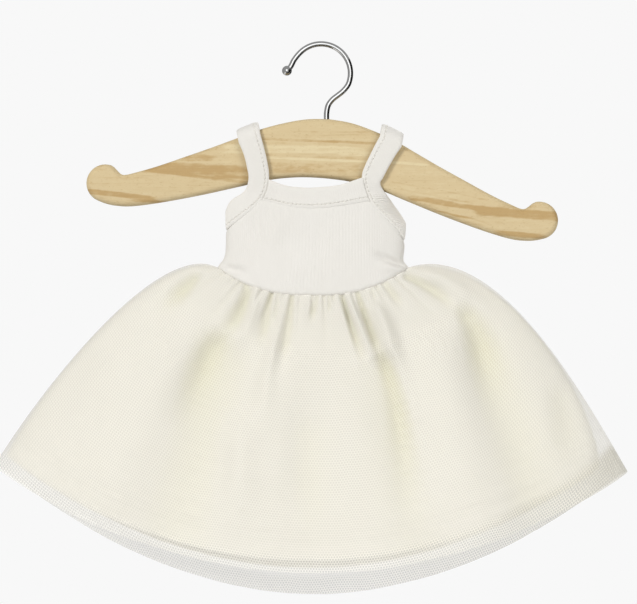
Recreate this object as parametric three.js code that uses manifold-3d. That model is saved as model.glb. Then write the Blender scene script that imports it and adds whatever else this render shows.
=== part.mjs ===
// A doll's tutu dress on its wooden hanger: rib-knit bodice, bound neck and armholes,
// a jersey skirt lining and a gathered net overskirt, hung from a chrome hook.
// Millimetres, +Z up, +X to the right, the front of the dress facing -Y.
// The origin is the underside of the hook's top, where the hook rests on a rail.
import * as THREE from 'three';
import { mergeVertices } from 'three/addons/utils/BufferGeometryUtils.js';
import Module from 'manifold-3d';

const wasm = await Module();
wasm.setup();

// ---- cloth thicknesses and the space left at each seam
const SEAM_GAP = 0.3;
const LAYER_GAP = 0.9;
const RIB_WALL = 1.2;
const BINDING_WALL = 1.8;
const LINING_WALL = 1.0;
const NET_WALL = 1.0;

// ---- hanger: a board cut to one outline, rounded over on all edges
const BOARD_THICKNESS = 8;
const BOARD_ROUNDING = 2.4;
const BOARD_TILT = THREE.MathUtils.degToRad(-4.9);
const BOARD_CENTRE = { x: 0.8, z: -64.6 };
const KNOB = { out: 92.4, up: -1.3, radius: 8, from: 105, to: -75, steps: 9 };
const BOARD_TOP = [
  { out: 0, up: 33.9 }, { out: 8.5, up: 33.2 }, { out: 17, up: 31.2 },
  { out: 28, up: 27.4 }, { out: 39, up: 22.2 }, { out: 49, up: 17.5 },
  { out: 60, up: 12.6 }, { out: 70.4, up: 8 }, { out: 78.7, up: 4.8 },
  { out: 84.8, up: 2.9 }, { out: 87.6, up: 4.2 },
];
const BOARD_UNDERSIDE = [
  { out: 90, up: -10.2 }, { out: 82, up: -10.2 }, { out: 70, up: -7.8 },
  { out: 52, up: -2.9 }, { out: 36, up: 2.1 }, { out: 22.5, up: 6.3 },
  { out: 10.5, up: 8.4 }, { out: 0, up: 8.9 },
];

// ---- hook: round wire, a ball on its free end, its stem set in the board
const WIRE_RADIUS = 1.15;
const HOOK_RADIUS = 12.5;
const HOOK_CENTRE = { x: 0.2, z: -11.2 };
const HOOK_ARC = { from: 135, to: -20, steps: 13 };
const HOOK_MOUTH = [{ x: -12.9, z: -8.6 }, { x: -11.3, z: -5.6 }];
const HOOK_NECK = [
  { x: 9.7, z: -18.6 }, { x: 7.4, z: -20.5 }, { x: 5.0, z: -22.4 },
  { x: 3.3, z: -24.7 }, { x: 2.6, z: -27.6 }, { x: 2.5, z: -31 },
];
const TIP_BALL = { x: -14.3, z: -10.1, radius: 2.1 };
const STEM_DEPTH = 8;

// ---- body of the dress, seen from the front
const BODY_MIDDLE = -2.6;
const BODY_HALF_WIDTH = 38.8;
const BODY_SQUARENESS = 0.275;
const BODY_DEPTH = { strap: 6.3, waist: 10.5, from: -56, to: -105 };
const BACK_SHARE = 0.94;
const BOARD_ZONE = { above: -54, below: -64 };
const WAIST = { middle: -3.2, half: 40.8, side: -93.2, sag: 12.1, curve: 2.5 };
const SIDE_FLARE = { across: 3.8, straight: 0.7, up: 0.25 };
const UPPER_SEAM_GAP = { middle: 0.4, side: 1.08 };
const NECK_SEAM = [
  { x: -25.2, z: -66 }, { x: -22.4, z: -66.5 }, { x: -15.1, z: -68.2 },
  { x: -10.9, z: -68.8 }, { x: -4.5, z: -69.1 }, { x: 1.9, z: -68.8 },
  { x: 10.4, z: -67.6 }, { x: 19.9, z: -66 },
];
const NECK_EDGE = [
  { x: -21.5, z: -56.7 }, { x: -16.8, z: -58.6 }, { x: -13, z: -59.5 },
  { x: -8.8, z: -59.9 }, { x: -4.5, z: -60.1 }, { x: 4, z: -59.5 },
  { x: 8.2, z: -58.9 }, { x: 11.6, z: -57.8 }, { x: 17.2, z: -55.9 },
];
const BACK_NECK_DROP = 1.2;

// One row for each section of an armhole binding, from the strap's bend over the board
// down to the side of the body. The free edge borders the armhole, the seam edge the
// bodice or the neck binding; roll turns the free edge of the front towards the back.
const LEFT_BINDING = [
  { freeX: -34.6, freeZ: -41.2, seamX: -25.4, seamZ: -37.6, roll: 0 },
  { freeX: -33.0, freeZ: -44.8, seamX: -24.3, seamZ: -41.6, roll: 0 },
  { freeX: -31.9, freeZ: -48.2, seamX: -23.2, seamZ: -46.0, roll: 0 },
  { freeX: -31.1, freeZ: -51.8, seamX: -22.3, seamZ: -50.2, roll: 0 },
  { freeX: -30.5, freeZ: -55.4, seamX: -21.8, seamZ: -54.2, roll: 0 },
  { freeX: -31.0, freeZ: -58.8, seamX: -21.9, seamZ: -58.6, roll: 0 },
  { freeX: -32.1, freeZ: -61.2, seamX: -23.0, seamZ: -62.5, roll: 0 },
  { freeX: -34.0, freeZ: -62.8, seamX: -25.2, seamZ: -66.0, roll: 0 },
  { freeX: -36.0, freeZ: -63.9, seamX: -28.3, seamZ: -69.1, roll: 0 },
  { freeX: -38.0, freeZ: -65.2, seamX: -32.1, seamZ: -71.8, roll: 0 },
  { freeX: -39.5, freeZ: -67.0, seamX: -36.0, seamZ: -74.6, roll: 0 },
  { freeX: -40.4, freeZ: -69.0, seamX: -40.3, seamZ: -77.6, roll: 0 },
];
const RIGHT_BINDING = [
  { freeX: 34.2, freeZ: -42.8, seamX: 25.0, seamZ: -38.4, roll: 0 },
  { freeX: 31.8, freeZ: -46.2, seamX: 22.9, seamZ: -42.2, roll: 0 },
  { freeX: 29.8, freeZ: -49.6, seamX: 20.8, seamZ: -46.4, roll: 0 },
  { freeX: 28.0, freeZ: -52.8, seamX: 18.9, seamZ: -50.4, roll: 0 },
  { freeX: 26.3, freeZ: -56.2, seamX: 17.5, seamZ: -54.4, roll: 0 },
  { freeX: 24.6, freeZ: -59.2, seamX: 17.8, seamZ: -58.6, roll: 0.2 },
  { freeX: 26.2, freeZ: -63.2, seamX: 19.2, seamZ: -63.0, roll: 1.6 },
  { freeX: 28.4, freeZ: -66.6, seamX: 21.0, seamZ: -66.4, roll: 4.6 },
  { freeX: 30.8, freeZ: -69.8, seamX: 24.5, seamZ: -70.3, roll: 5.2 },
  { freeX: 33.2, freeZ: -72.8, seamX: 28.6, seamZ: -74.0, roll: 4.0 },
  { freeX: 35.2, freeZ: -75.0, seamX: 32.4, seamZ: -77.6, roll: 2.0 },
  { freeX: 36.2, freeZ: -76.6, seamX: 35.8, seamZ: -82.0, roll: 0 },
];
const ROLL_CURVE = 1.7;
const RIGHT_BACK_SPREAD = { outward: 1.6, from: 0.4 };
const STRAP_BEND = { steps: 8, outward: 1.4, lift: 0.4 };
const BINDING_STEPS = { along: 22, across: 4 };

// ---- skirt: two layers hung from the waist, each fanning out to its own hem
const SPRING_ANGLE = { left: 67, right: 60 };
const FAN_POWER = 4.2;
const LEAVING_HANDLE = { left: 0.22, right: 0.31 };
const ARRIVING_HANDLE = 0.3;
const WAIST_SQUARENESS = 0.55;
const HEM_SQUARENESS = 0.9;
const GATHERS = 17;
const GATHER_HEIGHT = 0.9;
const GATHER_END = 0.34;
const GATHER_UNEVENNESS = [{ shift: 0.022, waves: 3.5 }, { shift: 0.014, waves: 8 }];
const COLUMNS = 4 * GATHERS + 1;
const ROW_SPREAD = 1.35;
const FOLD_AT_SEAM = 0.35;
const FOLD_SETTLED = 0.12;
const NET = {
  left: { x: -138.8, z: -177.7 }, right: { x: 130.6, z: -180.2 }, curve: 2,
  sag: { front: 42, back: 56 }, depth: { front: 26, back: 23 },
  wall: NET_WALL, inset: 0, sideDrop: 0, puff: 1.8, rows: 10,
  springLess: 0, droopAngle: { left: 17, right: 17 },
};
const LINING = {
  left: { x: -133.2, z: -173.6 }, right: { x: 118.3, z: -178.8 }, curve: 2.1,
  sag: { front: 40, back: 47 }, depth: { front: 23, back: 20.2 },
  wall: LINING_WALL, inset: NET_WALL + LAYER_GAP, sideDrop: 1.4, puff: 1.45, rows: 8,
  springLess: 6, droopAngle: { left: 17, right: 24 },
};

// Large folds: where each starts across the waist and how far it wanders by the hem
// (both in half-widths), its half-width, its height, and the stretch it runs through
// from the waist (0) to the hem (1). A negative height is a valley.
const FRONT_FOLDS = [
  { at: -0.93, drift: 0.1, width: 0.05, height: -1.4, from: 0, to: 0.4 },
  { at: -0.69, drift: 0.06, width: 0.06, height: -2.4, from: 0, to: 0.6 },
  { at: -0.69, drift: 0, width: 0.11, height: -2.2, from: 0.3, to: 0.9 },
  { at: -0.55, drift: 0.02, width: 0.06, height: 1.4, from: 0.1, to: 0.9 },
  { at: -0.43, drift: 0.12, width: 0.04, height: -1.6, from: 0, to: 0.35 },
  { at: -0.3, drift: 0.0, width: 0.08, height: 2.0, from: 0.3, to: 1.1 },
  { at: -0.22, drift: 0.04, width: 0.04, height: -1.8, from: 0, to: 0.55 },
  { at: -0.05, drift: 0.0, width: 0.07, height: -1.6, from: 0.45, to: 1.1 },
  { at: 0.14, drift: 0.02, width: 0.07, height: 1.4, from: 0.2, to: 1.1 },
  { at: 0.29, drift: 0.08, width: 0.04, height: -2.2, from: 0, to: 0.55 },
  { at: 0.37, drift: 0.04, width: 0.04, height: 1.6, from: 0, to: 0.4 },
  { at: 0.46, drift: -0.11, width: 0.05, height: -2.8, from: 0, to: 1.1 },
  { at: 0.55, drift: -0.12, width: 0.06, height: 2.2, from: 0.1, to: 1.1 },
  { at: 0.76, drift: -0.02, width: 0.05, height: -1.4, from: 0, to: 0.35 },
  { at: 0.97, drift: -0.27, width: 0.06, height: -2.8, from: 0.05, to: 1.1 },
];
const BACK_FOLDS = [
  { at: -0.9, drift: 0.14, width: 0.06, height: -2.2, from: 0, to: 0.8 },
  { at: -0.66, drift: 0.04, width: 0.07, height: 1.6, from: 0.15, to: 1.1 },
  { at: -0.5, drift: 0.02, width: 0.05, height: -2.4, from: 0, to: 0.7 },
  { at: -0.3, drift: -0.03, width: 0.07, height: 1.8, from: 0.3, to: 1.1 },
  { at: -0.12, drift: 0.03, width: 0.05, height: -2.6, from: 0, to: 1.1 },
  { at: 0.1, drift: 0.0, width: 0.07, height: 1.6, from: 0.2, to: 1.1 },
  { at: 0.3, drift: 0.05, width: 0.05, height: -2, from: 0, to: 0.6 },
  { at: 0.52, drift: -0.04, width: 0.07, height: 1.8, from: 0.25, to: 1.1 },
  { at: 0.72, drift: 0.02, width: 0.06, height: -2.4, from: 0, to: 0.9 },
  { at: 0.92, drift: -0.1, width: 0.05, height: 1.2, from: 0.1, to: 0.8 },
];

const clothMaterial = (color, roughness) =>
  new THREE.MeshStandardMaterial({ color, roughness, metalness: 0 });
const MATERIALS = {
  rib: clothMaterial(0xeeece2, 0.95),
  lining: clothMaterial(0xe9e4cf, 0.9),
  net: clothMaterial(0xece8d4, 0.85),
  wood: new THREE.MeshStandardMaterial({ color: 0xd9b98c, roughness: 0.6, metalness: 0 }),
  chrome: new THREE.MeshStandardMaterial({ color: 0xc9cccf, roughness: 0.15, metalness: 1 }),
};

const dress = new THREE.Group();

function addMesh(name, geometry, material, parent = dress) {
  const mesh = new THREE.Mesh(geometry, material);
  mesh.name = name;
  parent.add(mesh);
}

// ---- small helpers

const point = (x, y, z) => new THREE.Vector3(x, y, z);
const clamp01 = (value) => THREE.MathUtils.clamp(value, 0, 1);
const range = (count) => Array.from({ length: count + 1 }, (_, i) => i / count);

// Straight-line reading of a table: the value of column `give` where `key` reaches `at`.
function readTable(table, key, give, at) {
  const rising = table[0][key] < table[table.length - 1][key];
  const rows = rising ? table : [...table].reverse();
  const next = Math.max(1, rows.findIndex((row) => row[key] >= at));
  const upper = at > rows[rows.length - 1][key] ? rows.length - 1 : next;
  const low = rows[upper - 1];
  const high = rows[upper];
  const share = clamp01((at - low[key]) / (high[key] - low[key]));
  return THREE.MathUtils.lerp(low[give], high[give], share);
}

// A smooth reading of a table of sections, all columns at once, at share 0..1 along it.
function readSections(table, share) {
  const place = share * (table.length - 1);
  const i = Math.min(Math.floor(place), table.length - 2);
  const f = place - i;
  const row = (k) => table[THREE.MathUtils.clamp(k, 0, table.length - 1)];
  const result = {};
  for (const column of Object.keys(table[0])) {
    const [a, b, c, d] = [row(i - 1), row(i), row(i + 1), row(i + 2)].map((r) => r[column]);
    const slopes = (c - a) * f + (2 * a - 5 * b + 4 * c - d) * f * f + (3 * b - a - 3 * c + d) * f ** 3;
    result[column] = b + slopes / 2;
  }
  return result;
}

// A closed wall between two grids of points that match one to one, rim faces included.
function wallGeometry(outer, inner) {
  const lastRow = outer.length - 1;
  const lastColumn = outer[0].length - 1;
  const columns = lastColumn + 1;
  const sideSize = outer.length * columns;
  const at = (side, r, c) => side * sideSize + r * columns + c;
  const index = [];
  const quad = (a, b, c, d) => index.push(a, b, c, a, c, d);
  for (let r = 0; r < lastRow; r += 1) {
    for (let c = 0; c < lastColumn; c += 1) {
      quad(at(0, r, c), at(0, r, c + 1), at(0, r + 1, c + 1), at(0, r + 1, c));
      quad(at(1, r, c), at(1, r + 1, c), at(1, r + 1, c + 1), at(1, r, c + 1));
    }
    quad(at(0, r, 0), at(0, r + 1, 0), at(1, r + 1, 0), at(1, r, 0));
    quad(at(0, r, lastColumn), at(1, r, lastColumn), at(1, r + 1, lastColumn), at(0, r + 1, lastColumn));
  }
  for (let c = 0; c < lastColumn; c += 1) {
    quad(at(0, 0, c), at(1, 0, c), at(1, 0, c + 1), at(0, 0, c + 1));
    quad(at(0, lastRow, c), at(0, lastRow, c + 1), at(1, lastRow, c + 1), at(1, lastRow, c));
  }
  const corners = [...outer.flat(), ...inner.flat()];
  if (enclosedVolume(corners, index) < 0) index.reverse();
  const geometry = new THREE.BufferGeometry().setFromPoints(corners);
  geometry.setIndex(index);
  geometry.computeVertexNormals();
  return geometry;
}

function enclosedVolume(corners, index) {
  let volume = 0;
  for (let i = 0; i < index.length; i += 3) {
    const [a, b, c] = [index[i], index[i + 1], index[i + 2]].map((k) => corners[k]);
    volume += a.dot(b.clone().cross(c)) / 6;
  }
  return volume;
}

// Outward direction of a surface given as surface(v, t), v running -1..1 left to right
// and t 0..1 downwards, on the front (facing = -1) or the back (facing = 1).
function outwardAt(surface, v, t, facing) {
  const step = 0.002;
  const right = surface(Math.min(v + step, 1), t).sub(surface(Math.max(v - step, -1), t));
  const down = surface(v, clamp01(t + step)).sub(surface(v, clamp01(t - step)));
  const outward = right.cross(down);
  const onSideFold = Math.abs(v) === 1 && Math.abs(surface(v, t).y) <= SEAM_GAP;
  outward.y = onSideFold ? 0 : outward.y;
  return outward.normalize().multiplyScalar(facing);
}

// A cloth wall on a surface: `rise` lifts the outer face, `wall` is the cloth's thickness.
function clothOnSurface(surface, facing, columns, rows, wall, rise) {
  const outer = rows.map((t) => columns.map((v) => {
    const outward = outwardAt(surface, v, t, facing);
    return surface(v, t).addScaledVector(outward, rise(v, t));
  }));
  const inner = rows.map((t, r) => columns.map((v, c) => {
    const outward = outwardAt(surface, v, t, facing);
    return outer[r][c].clone().addScaledVector(outward, -wall);
  }));
  return wallGeometry(outer, inner);
}

// ---- hanger

function boardOutline() {
  const knobArc = range(KNOB.steps).map((share) => {
    const angle = THREE.MathUtils.degToRad(THREE.MathUtils.lerp(KNOB.from, KNOB.to, share));
    return { out: KNOB.out + KNOB.radius * Math.cos(angle), up: KNOB.up + KNOB.radius * Math.sin(angle) };
  });
  const smooth = (table, count) => {
    const curve = new THREE.SplineCurve(table.map(({ out, up }) => new THREE.Vector2(out, up)));
    return curve.getPoints(count).map(({ x, y }) => ({ out: x, up: y }));
  };
  const right = [...smooth(BOARD_TOP, 20), ...knobArc, ...smooth(BOARD_UNDERSIDE, 14)];
  const left = right.slice(1, -1).reverse().map(({ out, up }) => ({ out: -out, up }));
  return [...right, ...left].map(({ out, up }) => new THREE.Vector2(out, up));
}

// Height of the board's top edge at a place across the dress.
function boardTopAt(x) {
  const out = Math.abs(x - BOARD_CENTRE.x) / Math.cos(BOARD_TILT);
  const side = Math.sign(x - BOARD_CENTRE.x);
  const up = readTable(BOARD_TOP, 'out', 'up', out);
  return BOARD_CENTRE.z + up * Math.cos(BOARD_TILT) + side * out * Math.sin(BOARD_TILT);
}

function toSolid(geometry) {
  const bare = geometry.clone();
  bare.deleteAttribute('normal');
  bare.deleteAttribute('uv');
  const merged = mergeVertices(bare, 1e-4);
  const vertProperties = new Float32Array(merged.attributes.position.array);
  const triVerts = new Uint32Array(merged.index.array);
  return new wasm.Manifold(new wasm.Mesh({ numProp: 3, vertProperties, triVerts }));
}

function toGeometry(solid) {
  const { vertProperties, triVerts } = solid.getMesh();
  const geometry = new THREE.BufferGeometry();
  geometry.setAttribute('position', new THREE.BufferAttribute(vertProperties, 3));
  geometry.setIndex(new THREE.BufferAttribute(triVerts, 1));
  geometry.computeVertexNormals();
  return geometry;
}

function makeBoard() {
  const board = new THREE.ExtrudeGeometry(new THREE.Shape(boardOutline()), {
    depth: BOARD_THICKNESS - 2 * BOARD_ROUNDING,
    bevelEnabled: true,
    bevelThickness: BOARD_ROUNDING,
    bevelSize: BOARD_ROUNDING,
    bevelOffset: -BOARD_ROUNDING,
    bevelSegments: 3,
  });
  board.translate(0, 0, -BOARD_THICKNESS / 2 + BOARD_ROUNDING);
  board.rotateX(Math.PI / 2);
  board.rotateY(-BOARD_TILT);
  board.translate(BOARD_CENTRE.x, 0, BOARD_CENTRE.z);
  const stem = HOOK_NECK[HOOK_NECK.length - 1];
  const holeDepth = STEM_DEPTH + SEAM_GAP;
  const holeTop = boardTopAt(stem.x) + BOARD_ROUNDING;
  const hole = new THREE.CylinderGeometry(WIRE_RADIUS + SEAM_GAP, WIRE_RADIUS + SEAM_GAP, 1, 16);
  hole.scale(1, holeDepth + BOARD_ROUNDING, 1);
  hole.rotateX(Math.PI / 2);
  hole.translate(stem.x, 0, holeTop - (holeDepth + BOARD_ROUNDING) / 2);
  addMesh('hanger_board', toGeometry(toSolid(board).subtract(toSolid(hole))), MATERIALS.wood);
}

function makeHook() {
  const arc = range(HOOK_ARC.steps).map((share) => {
    const angle = THREE.MathUtils.degToRad(THREE.MathUtils.lerp(HOOK_ARC.from, HOOK_ARC.to, share));
    return {
      x: HOOK_CENTRE.x + HOOK_RADIUS * Math.cos(angle),
      z: HOOK_CENTRE.z + HOOK_RADIUS * Math.sin(angle),
    };
  });
  const stem = HOOK_NECK[HOOK_NECK.length - 1];
  const foot = { x: stem.x, z: boardTopAt(stem.x) - STEM_DEPTH };
  const line = [...HOOK_MOUTH, ...arc, ...HOOK_NECK, foot].map(({ x, z }) => point(x, 0, z));
  const section = new THREE.Shape().absarc(0, 0, WIRE_RADIUS, 0, 2 * Math.PI);
  const wire = new THREE.ExtrudeGeometry(section, {
    extrudePath: new THREE.CatmullRomCurve3(line, false, 'centripetal'),
    steps: 44,
    curveSegments: 4,
  });
  const ball = new THREE.SphereGeometry(TIP_BALL.radius, 14, 9);
  ball.translate(TIP_BALL.x, 0, TIP_BALL.z);
  addMesh('hanger_hook', toGeometry(toSolid(wire).add(toSolid(ball))), MATERIALS.chrome);
}

// ---- body of the dress

// 1 where the straps lie on the board, 0 below it where the body takes over.
const onBoard = (z) => 1 - THREE.MathUtils.smoothstep(-z, -BOARD_ZONE.above, -BOARD_ZONE.below);

// Depth of the body's outer face at a place seen from the front: full across the middle,
// closing to nothing at the side folds, and hugging the board above the neckline.
function bodyDepth(x, z) {
  const across = clamp01(Math.abs(x - BODY_MIDDLE) / BODY_HALF_WIDTH);
  const down = THREE.MathUtils.smoothstep(-z, -BODY_DEPTH.from, -BODY_DEPTH.to);
  const full = THREE.MathUtils.lerp(BODY_DEPTH.strap, BODY_DEPTH.waist, down);
  const rounded = full * (1 - across ** 2) ** BODY_SQUARENESS;
  return THREE.MathUtils.lerp(rounded, BODY_DEPTH.strap, onBoard(z));
}

// The waist seam, s running -1..1 from the left fold to the right one.
function waistAt(s) {
  const z = WAIST.side - WAIST.sag * (1 - Math.abs(s) ** WAIST.curve);
  return { x: WAIST.middle + WAIST.half * s, z };
}

const seamPoints = (table) => range(BINDING_STEPS.along).map((along) => {
  const { seamX, seamZ } = readSections(table, along);
  return { x: seamX, z: seamZ };
});

// The bodice panel's upper seam: left armhole, neck, right armhole.
function upperSeam() {
  const below = (rows) => seamPoints(rows).filter(({ z }) => z <= NECK_SEAM[0].z - 0.5);
  return [...below(LEFT_BINDING).reverse(), ...NECK_SEAM, ...below(RIGHT_BINDING)];
}

// One bodice panel as surface(v, t): v across from fold to fold, t from its upper seam
// down to the waist seam; below the armholes its sides drop straight, then flare.
function bodiceSurface(facing) {
  const seam = upperSeam();
  const first = seam[0].x;
  const last = seam[seam.length - 1].x;
  const share = facing < 0 ? 1 : BACK_SHARE;
  return (v, t) => {
    const s = Math.sin((v * Math.PI) / 2);
    const startX = THREE.MathUtils.lerp(first, last, (s + 1) / 2);
    const gap = THREE.MathUtils.lerp(UPPER_SEAM_GAP.middle, UPPER_SEAM_GAP.side, s ** 2);
    const start = new THREE.Vector2(startX, readTable(seam, 'x', 'z', startX) - gap);
    const waist = waistAt(s);
    const end = new THREE.Vector2(waist.x, waist.z);
    const fall = start.y - end.y;
    const flare = -SIDE_FLARE.across * Math.sign(s) * Math.abs(s) ** 3;
    const handleA = new THREE.Vector2(start.x, start.y - fall * SIDE_FLARE.straight);
    const handleB = new THREE.Vector2(end.x + flare, end.y + fall * SIDE_FLARE.up);
    const seen = new THREE.CubicBezierCurve(start, handleA, handleB, end).getPoint(t);
    const down = THREE.MathUtils.smoothstep(-seen.y, -BODY_DEPTH.from, -BODY_DEPTH.to);
    const full = THREE.MathUtils.lerp(BODY_DEPTH.strap, BODY_DEPTH.waist, down) * share;
    const round = Math.max(Math.cos((v * Math.PI) / 2), 0) ** (2 * BODY_SQUARENESS);
    return point(seen.x, facing * (SEAM_GAP / 2 + full * round), seen.y);
  };
}

function makeBodice() {
  const columns = range(22).map((u) => 2 * u - 1);
  const rows = range(6);
  for (const [name, facing] of [['bodice_front', -1], ['bodice_back', 1]]) {
    const geometry = clothOnSurface(bodiceSurface(facing), facing, columns, rows, RIB_WALL, () => 0);
    addMesh(name, geometry, MATERIALS.rib);
  }
}

// A neck binding runs between the inner edges of the two armhole bindings.
function neckSurface(facing) {
  const leftEdge = seamPoints(LEFT_BINDING);
  const rightEdge = seamPoints(RIGHT_BINDING);
  const drop = facing < 0 ? 0 : BACK_NECK_DROP;
  const share = facing < 0 ? 1 : BACK_SHARE;
  return (v, t) => {
    const endZ = THREE.MathUtils.lerp(NECK_EDGE[0].z, NECK_SEAM[0].z, t);
    const leftX = readTable(leftEdge, 'z', 'x', endZ) + SEAM_GAP + 0.1;
    const rightX = readTable(rightEdge, 'z', 'x', endZ) - SEAM_GAP - 0.1;
    const x = THREE.MathUtils.lerp(leftX, rightX, (v + 1) / 2);
    const edge = readTable(NECK_EDGE, 'x', 'z', x) - drop;
    const z = THREE.MathUtils.lerp(edge, readTable(NECK_SEAM, 'x', 'z', x), t);
    return point(x, facing * (SEAM_GAP / 2 + bodyDepth(x, z) * share), z);
  };
}

function makeNeckBindings() {
  const columns = range(20).map((u) => 2 * u - 1);
  for (const [name, facing] of [['neck_binding_front', -1], ['neck_binding_back', 1]]) {
    const rise = () => (BINDING_WALL - RIB_WALL) / 2;
    const geometry = clothOnSurface(neckSurface(facing), facing, columns, range(3), BINDING_WALL, rise);
    addMesh(name, geometry, MATERIALS.rib);
  }
}

// One half of an armhole binding, from the strap's bend down to the side fold.
function bindingHalf(table, facing) {
  const outerSide = Math.sign(table[0].freeX - BODY_MIDDLE);
  const spread = facing > 0 && outerSide > 0 ? RIGHT_BACK_SPREAD.outward : 0;
  const share = facing < 0 ? 1 : BACK_SHARE;
  return range(BINDING_STEPS.along).map((along) => {
    const row = readSections(table, along);
    const onBody = clamp01((along - RIGHT_BACK_SPREAD.from) / (1 - RIGHT_BACK_SPREAD.from));
    const middle = Math.sin(Math.PI * onBody);
    return range(BINDING_STEPS.across).map((k) => {
      const x = THREE.MathUtils.lerp(row.seamX, row.freeX, k) + spread * middle * k;
      const z = THREE.MathUtils.lerp(row.seamZ, row.freeZ, k);
      const roll = facing < 0 ? row.roll * k ** ROLL_CURVE : 0;
      const depth = bodyDepth(x, z) * THREE.MathUtils.lerp(share, 1, onBoard(z));
      return point(x, facing * (SEAM_GAP / 2 + depth) + roll, z);
    });
  });
}

// The strap's bend over the top of the board, from the front half to the back one.
function strapBend(table) {
  const { freeX, freeZ, seamX, seamZ } = table[0];
  const outerSide = Math.sign(freeX - BODY_MIDDLE);
  const radius = BODY_DEPTH.strap + SEAM_GAP / 2;
  const angles = range(STRAP_BEND.steps).slice(1, -1);
  return angles.map((share) => range(BINDING_STEPS.across).map((k) => {
    const angle = share * Math.PI;
    const x = THREE.MathUtils.lerp(seamX, freeX, k) + outerSide * STRAP_BEND.outward * Math.sin(angle);
    const z = THREE.MathUtils.lerp(seamZ, freeZ, k) + (radius - STRAP_BEND.lift) * Math.sin(angle);
    return point(x, -radius * Math.cos(angle), z);
  }));
}

function makeArmholeBinding(name, table) {
  const front = bindingHalf(table, -1).reverse();
  const back = bindingHalf(table, 1);
  const outer = [...front, ...strapBend(table), ...back];
  const outerSide = Math.sign(table[0].freeX - BODY_MIDDLE);
  const inner = outer.map((row, r) => row.map((place, k) => {
    const before = outer[Math.max(r - 1, 0)][k];
    const after = outer[Math.min(r + 1, outer.length - 1)][k];
    const along = after.clone().sub(before);
    const across = row[Math.min(k + 1, row.length - 1)].clone().sub(row[Math.max(k - 1, 0)]);
    const outward = across.cross(along).normalize().multiplyScalar(outerSide);
    return place.clone().addScaledVector(outward, -BINDING_WALL);
  }));
  addMesh(name, wallGeometry(outer, inner), MATERIALS.rib);
}

// ---- skirt

// The line a thread of the skirt follows from waist to hem, seen from the front: it
// leaves the waist turned outwards and reaches the hem turned downwards, most at the sides.
function fanLine(layer, face, s, v) {
  const waist = waistAt(s);
  waist.x -= layer.inset * s * Math.abs(s) ** 6;
  waist.z -= SEAM_GAP + layer.sideDrop * Math.abs(s) ** 3;
  const middleX = (layer.left.x + layer.right.x) / 2;
  const halfWidth = (layer.right.x - layer.left.x) / 2;
  const tipZ = THREE.MathUtils.lerp(layer.left.z, layer.right.z, (s + 1) / 2);
  const hemZ = tipZ - layer.sag[face] * (1 - Math.abs(s) ** layer.curve);
  const start = new THREE.Vector2(waist.x, waist.z);
  const end = new THREE.Vector2(middleX + halfWidth * s, hemZ);
  const chord = end.clone().sub(start);
  const turn = Math.sign(v) * Math.abs(v) ** FAN_POWER;
  const atPlace = ({ left, right }) => THREE.MathUtils.lerp(left, right, (s + 1) / 2);
  const spring = THREE.MathUtils.degToRad((atPlace(SPRING_ANGLE) - layer.springLess) * turn);
  const droop = THREE.MathUtils.degToRad(-atPlace(layer.droopAngle) * turn);
  const origin = new THREE.Vector2();
  const reach = atPlace(LEAVING_HANDLE);
  const leaving = chord.clone().multiplyScalar(reach).rotateAround(origin, spring);
  const arriving = chord.clone().multiplyScalar(ARRIVING_HANDLE).rotateAround(origin, droop);
  return new THREE.CubicBezierCurve(start, start.clone().add(leaving), end.clone().sub(arriving), end);
}

function skirtSurface(layer, facing) {
  const face = facing < 0 ? 'front' : 'back';
  const waistDepth = BODY_DEPTH.waist * (facing < 0 ? 1 : BACK_SHARE) - layer.inset;
  return (v, t) => {
    const s = Math.sin((v * Math.PI) / 2);
    const seen = fanLine(layer, face, s, v).getPoint(t);
    const depth = THREE.MathUtils.lerp(waistDepth, layer.depth[face], 1 - (1 - t) ** layer.puff);
    const squareness = THREE.MathUtils.lerp(WAIST_SQUARENESS, HEM_SQUARENESS, t);
    const round = Math.max(Math.cos((v * Math.PI) / 2), 0) ** squareness;
    return point(seen.x, facing * (SEAM_GAP / 2 + depth * round), seen.y);
  };
}

// Where a place on a layer lies across the net, so that both layers fold together.
function placeAcrossNet(layer, s, t) {
  const middle = (layer.left.x + layer.right.x) / 2;
  const half = (layer.right.x - layer.left.x) / 2;
  const netMiddle = (NET.left.x + NET.right.x) / 2;
  const netHalf = (NET.right.x - NET.left.x) / 2;
  return THREE.MathUtils.lerp(s, (middle + half * s - netMiddle) / netHalf, t);
}

// Height of the large folds at a place on the skirt: shallow at the waist seam, and
// faded out at the side folds.
function foldHeight(folds, layer, v, t) {
  const s = placeAcrossNet(layer, Math.sin((v * Math.PI) / 2), t);
  const side = 1 - Math.abs(v) ** 6;
  const seam = THREE.MathUtils.lerp(FOLD_AT_SEAM, 1, clamp01(t / FOLD_SETTLED));
  return folds.reduce((sum, fold) => {
    const away = (s - fold.at - fold.drift * t) / fold.width;
    const along = clamp01((t - fold.from) / (fold.to - fold.from));
    const fade = fold.from === 0 ? 1 - along ** 3 : Math.sin(Math.PI * along) ** 0.6;
    return sum + fold.height * fade * Math.exp(-away * away) * side * seam;
  }, 0);
}

// Places of the columns across the skirt, four to a gather, the gathers unevenly spaced.
function gatherColumns() {
  return range(COLUMNS - 1).map((u) => {
    const shifts = GATHER_UNEVENNESS.map(({ shift, waves }) => shift * Math.sin(2 * Math.PI * waves * u));
    return 2 * u - 1 + shifts[0] + shifts[1];
  });
}

function gatherHeight(u, t) {
  const fade = clamp01(1 - t / GATHER_END) ** 1.2;
  const uneven = 0.75 + 0.25 * Math.sin(11 * Math.PI * u + 1);
  const side = 1 - Math.abs(2 * u - 1) ** 4;
  return GATHER_HEIGHT * uneven * fade * side * Math.cos(2 * Math.PI * GATHERS * u);
}

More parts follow.
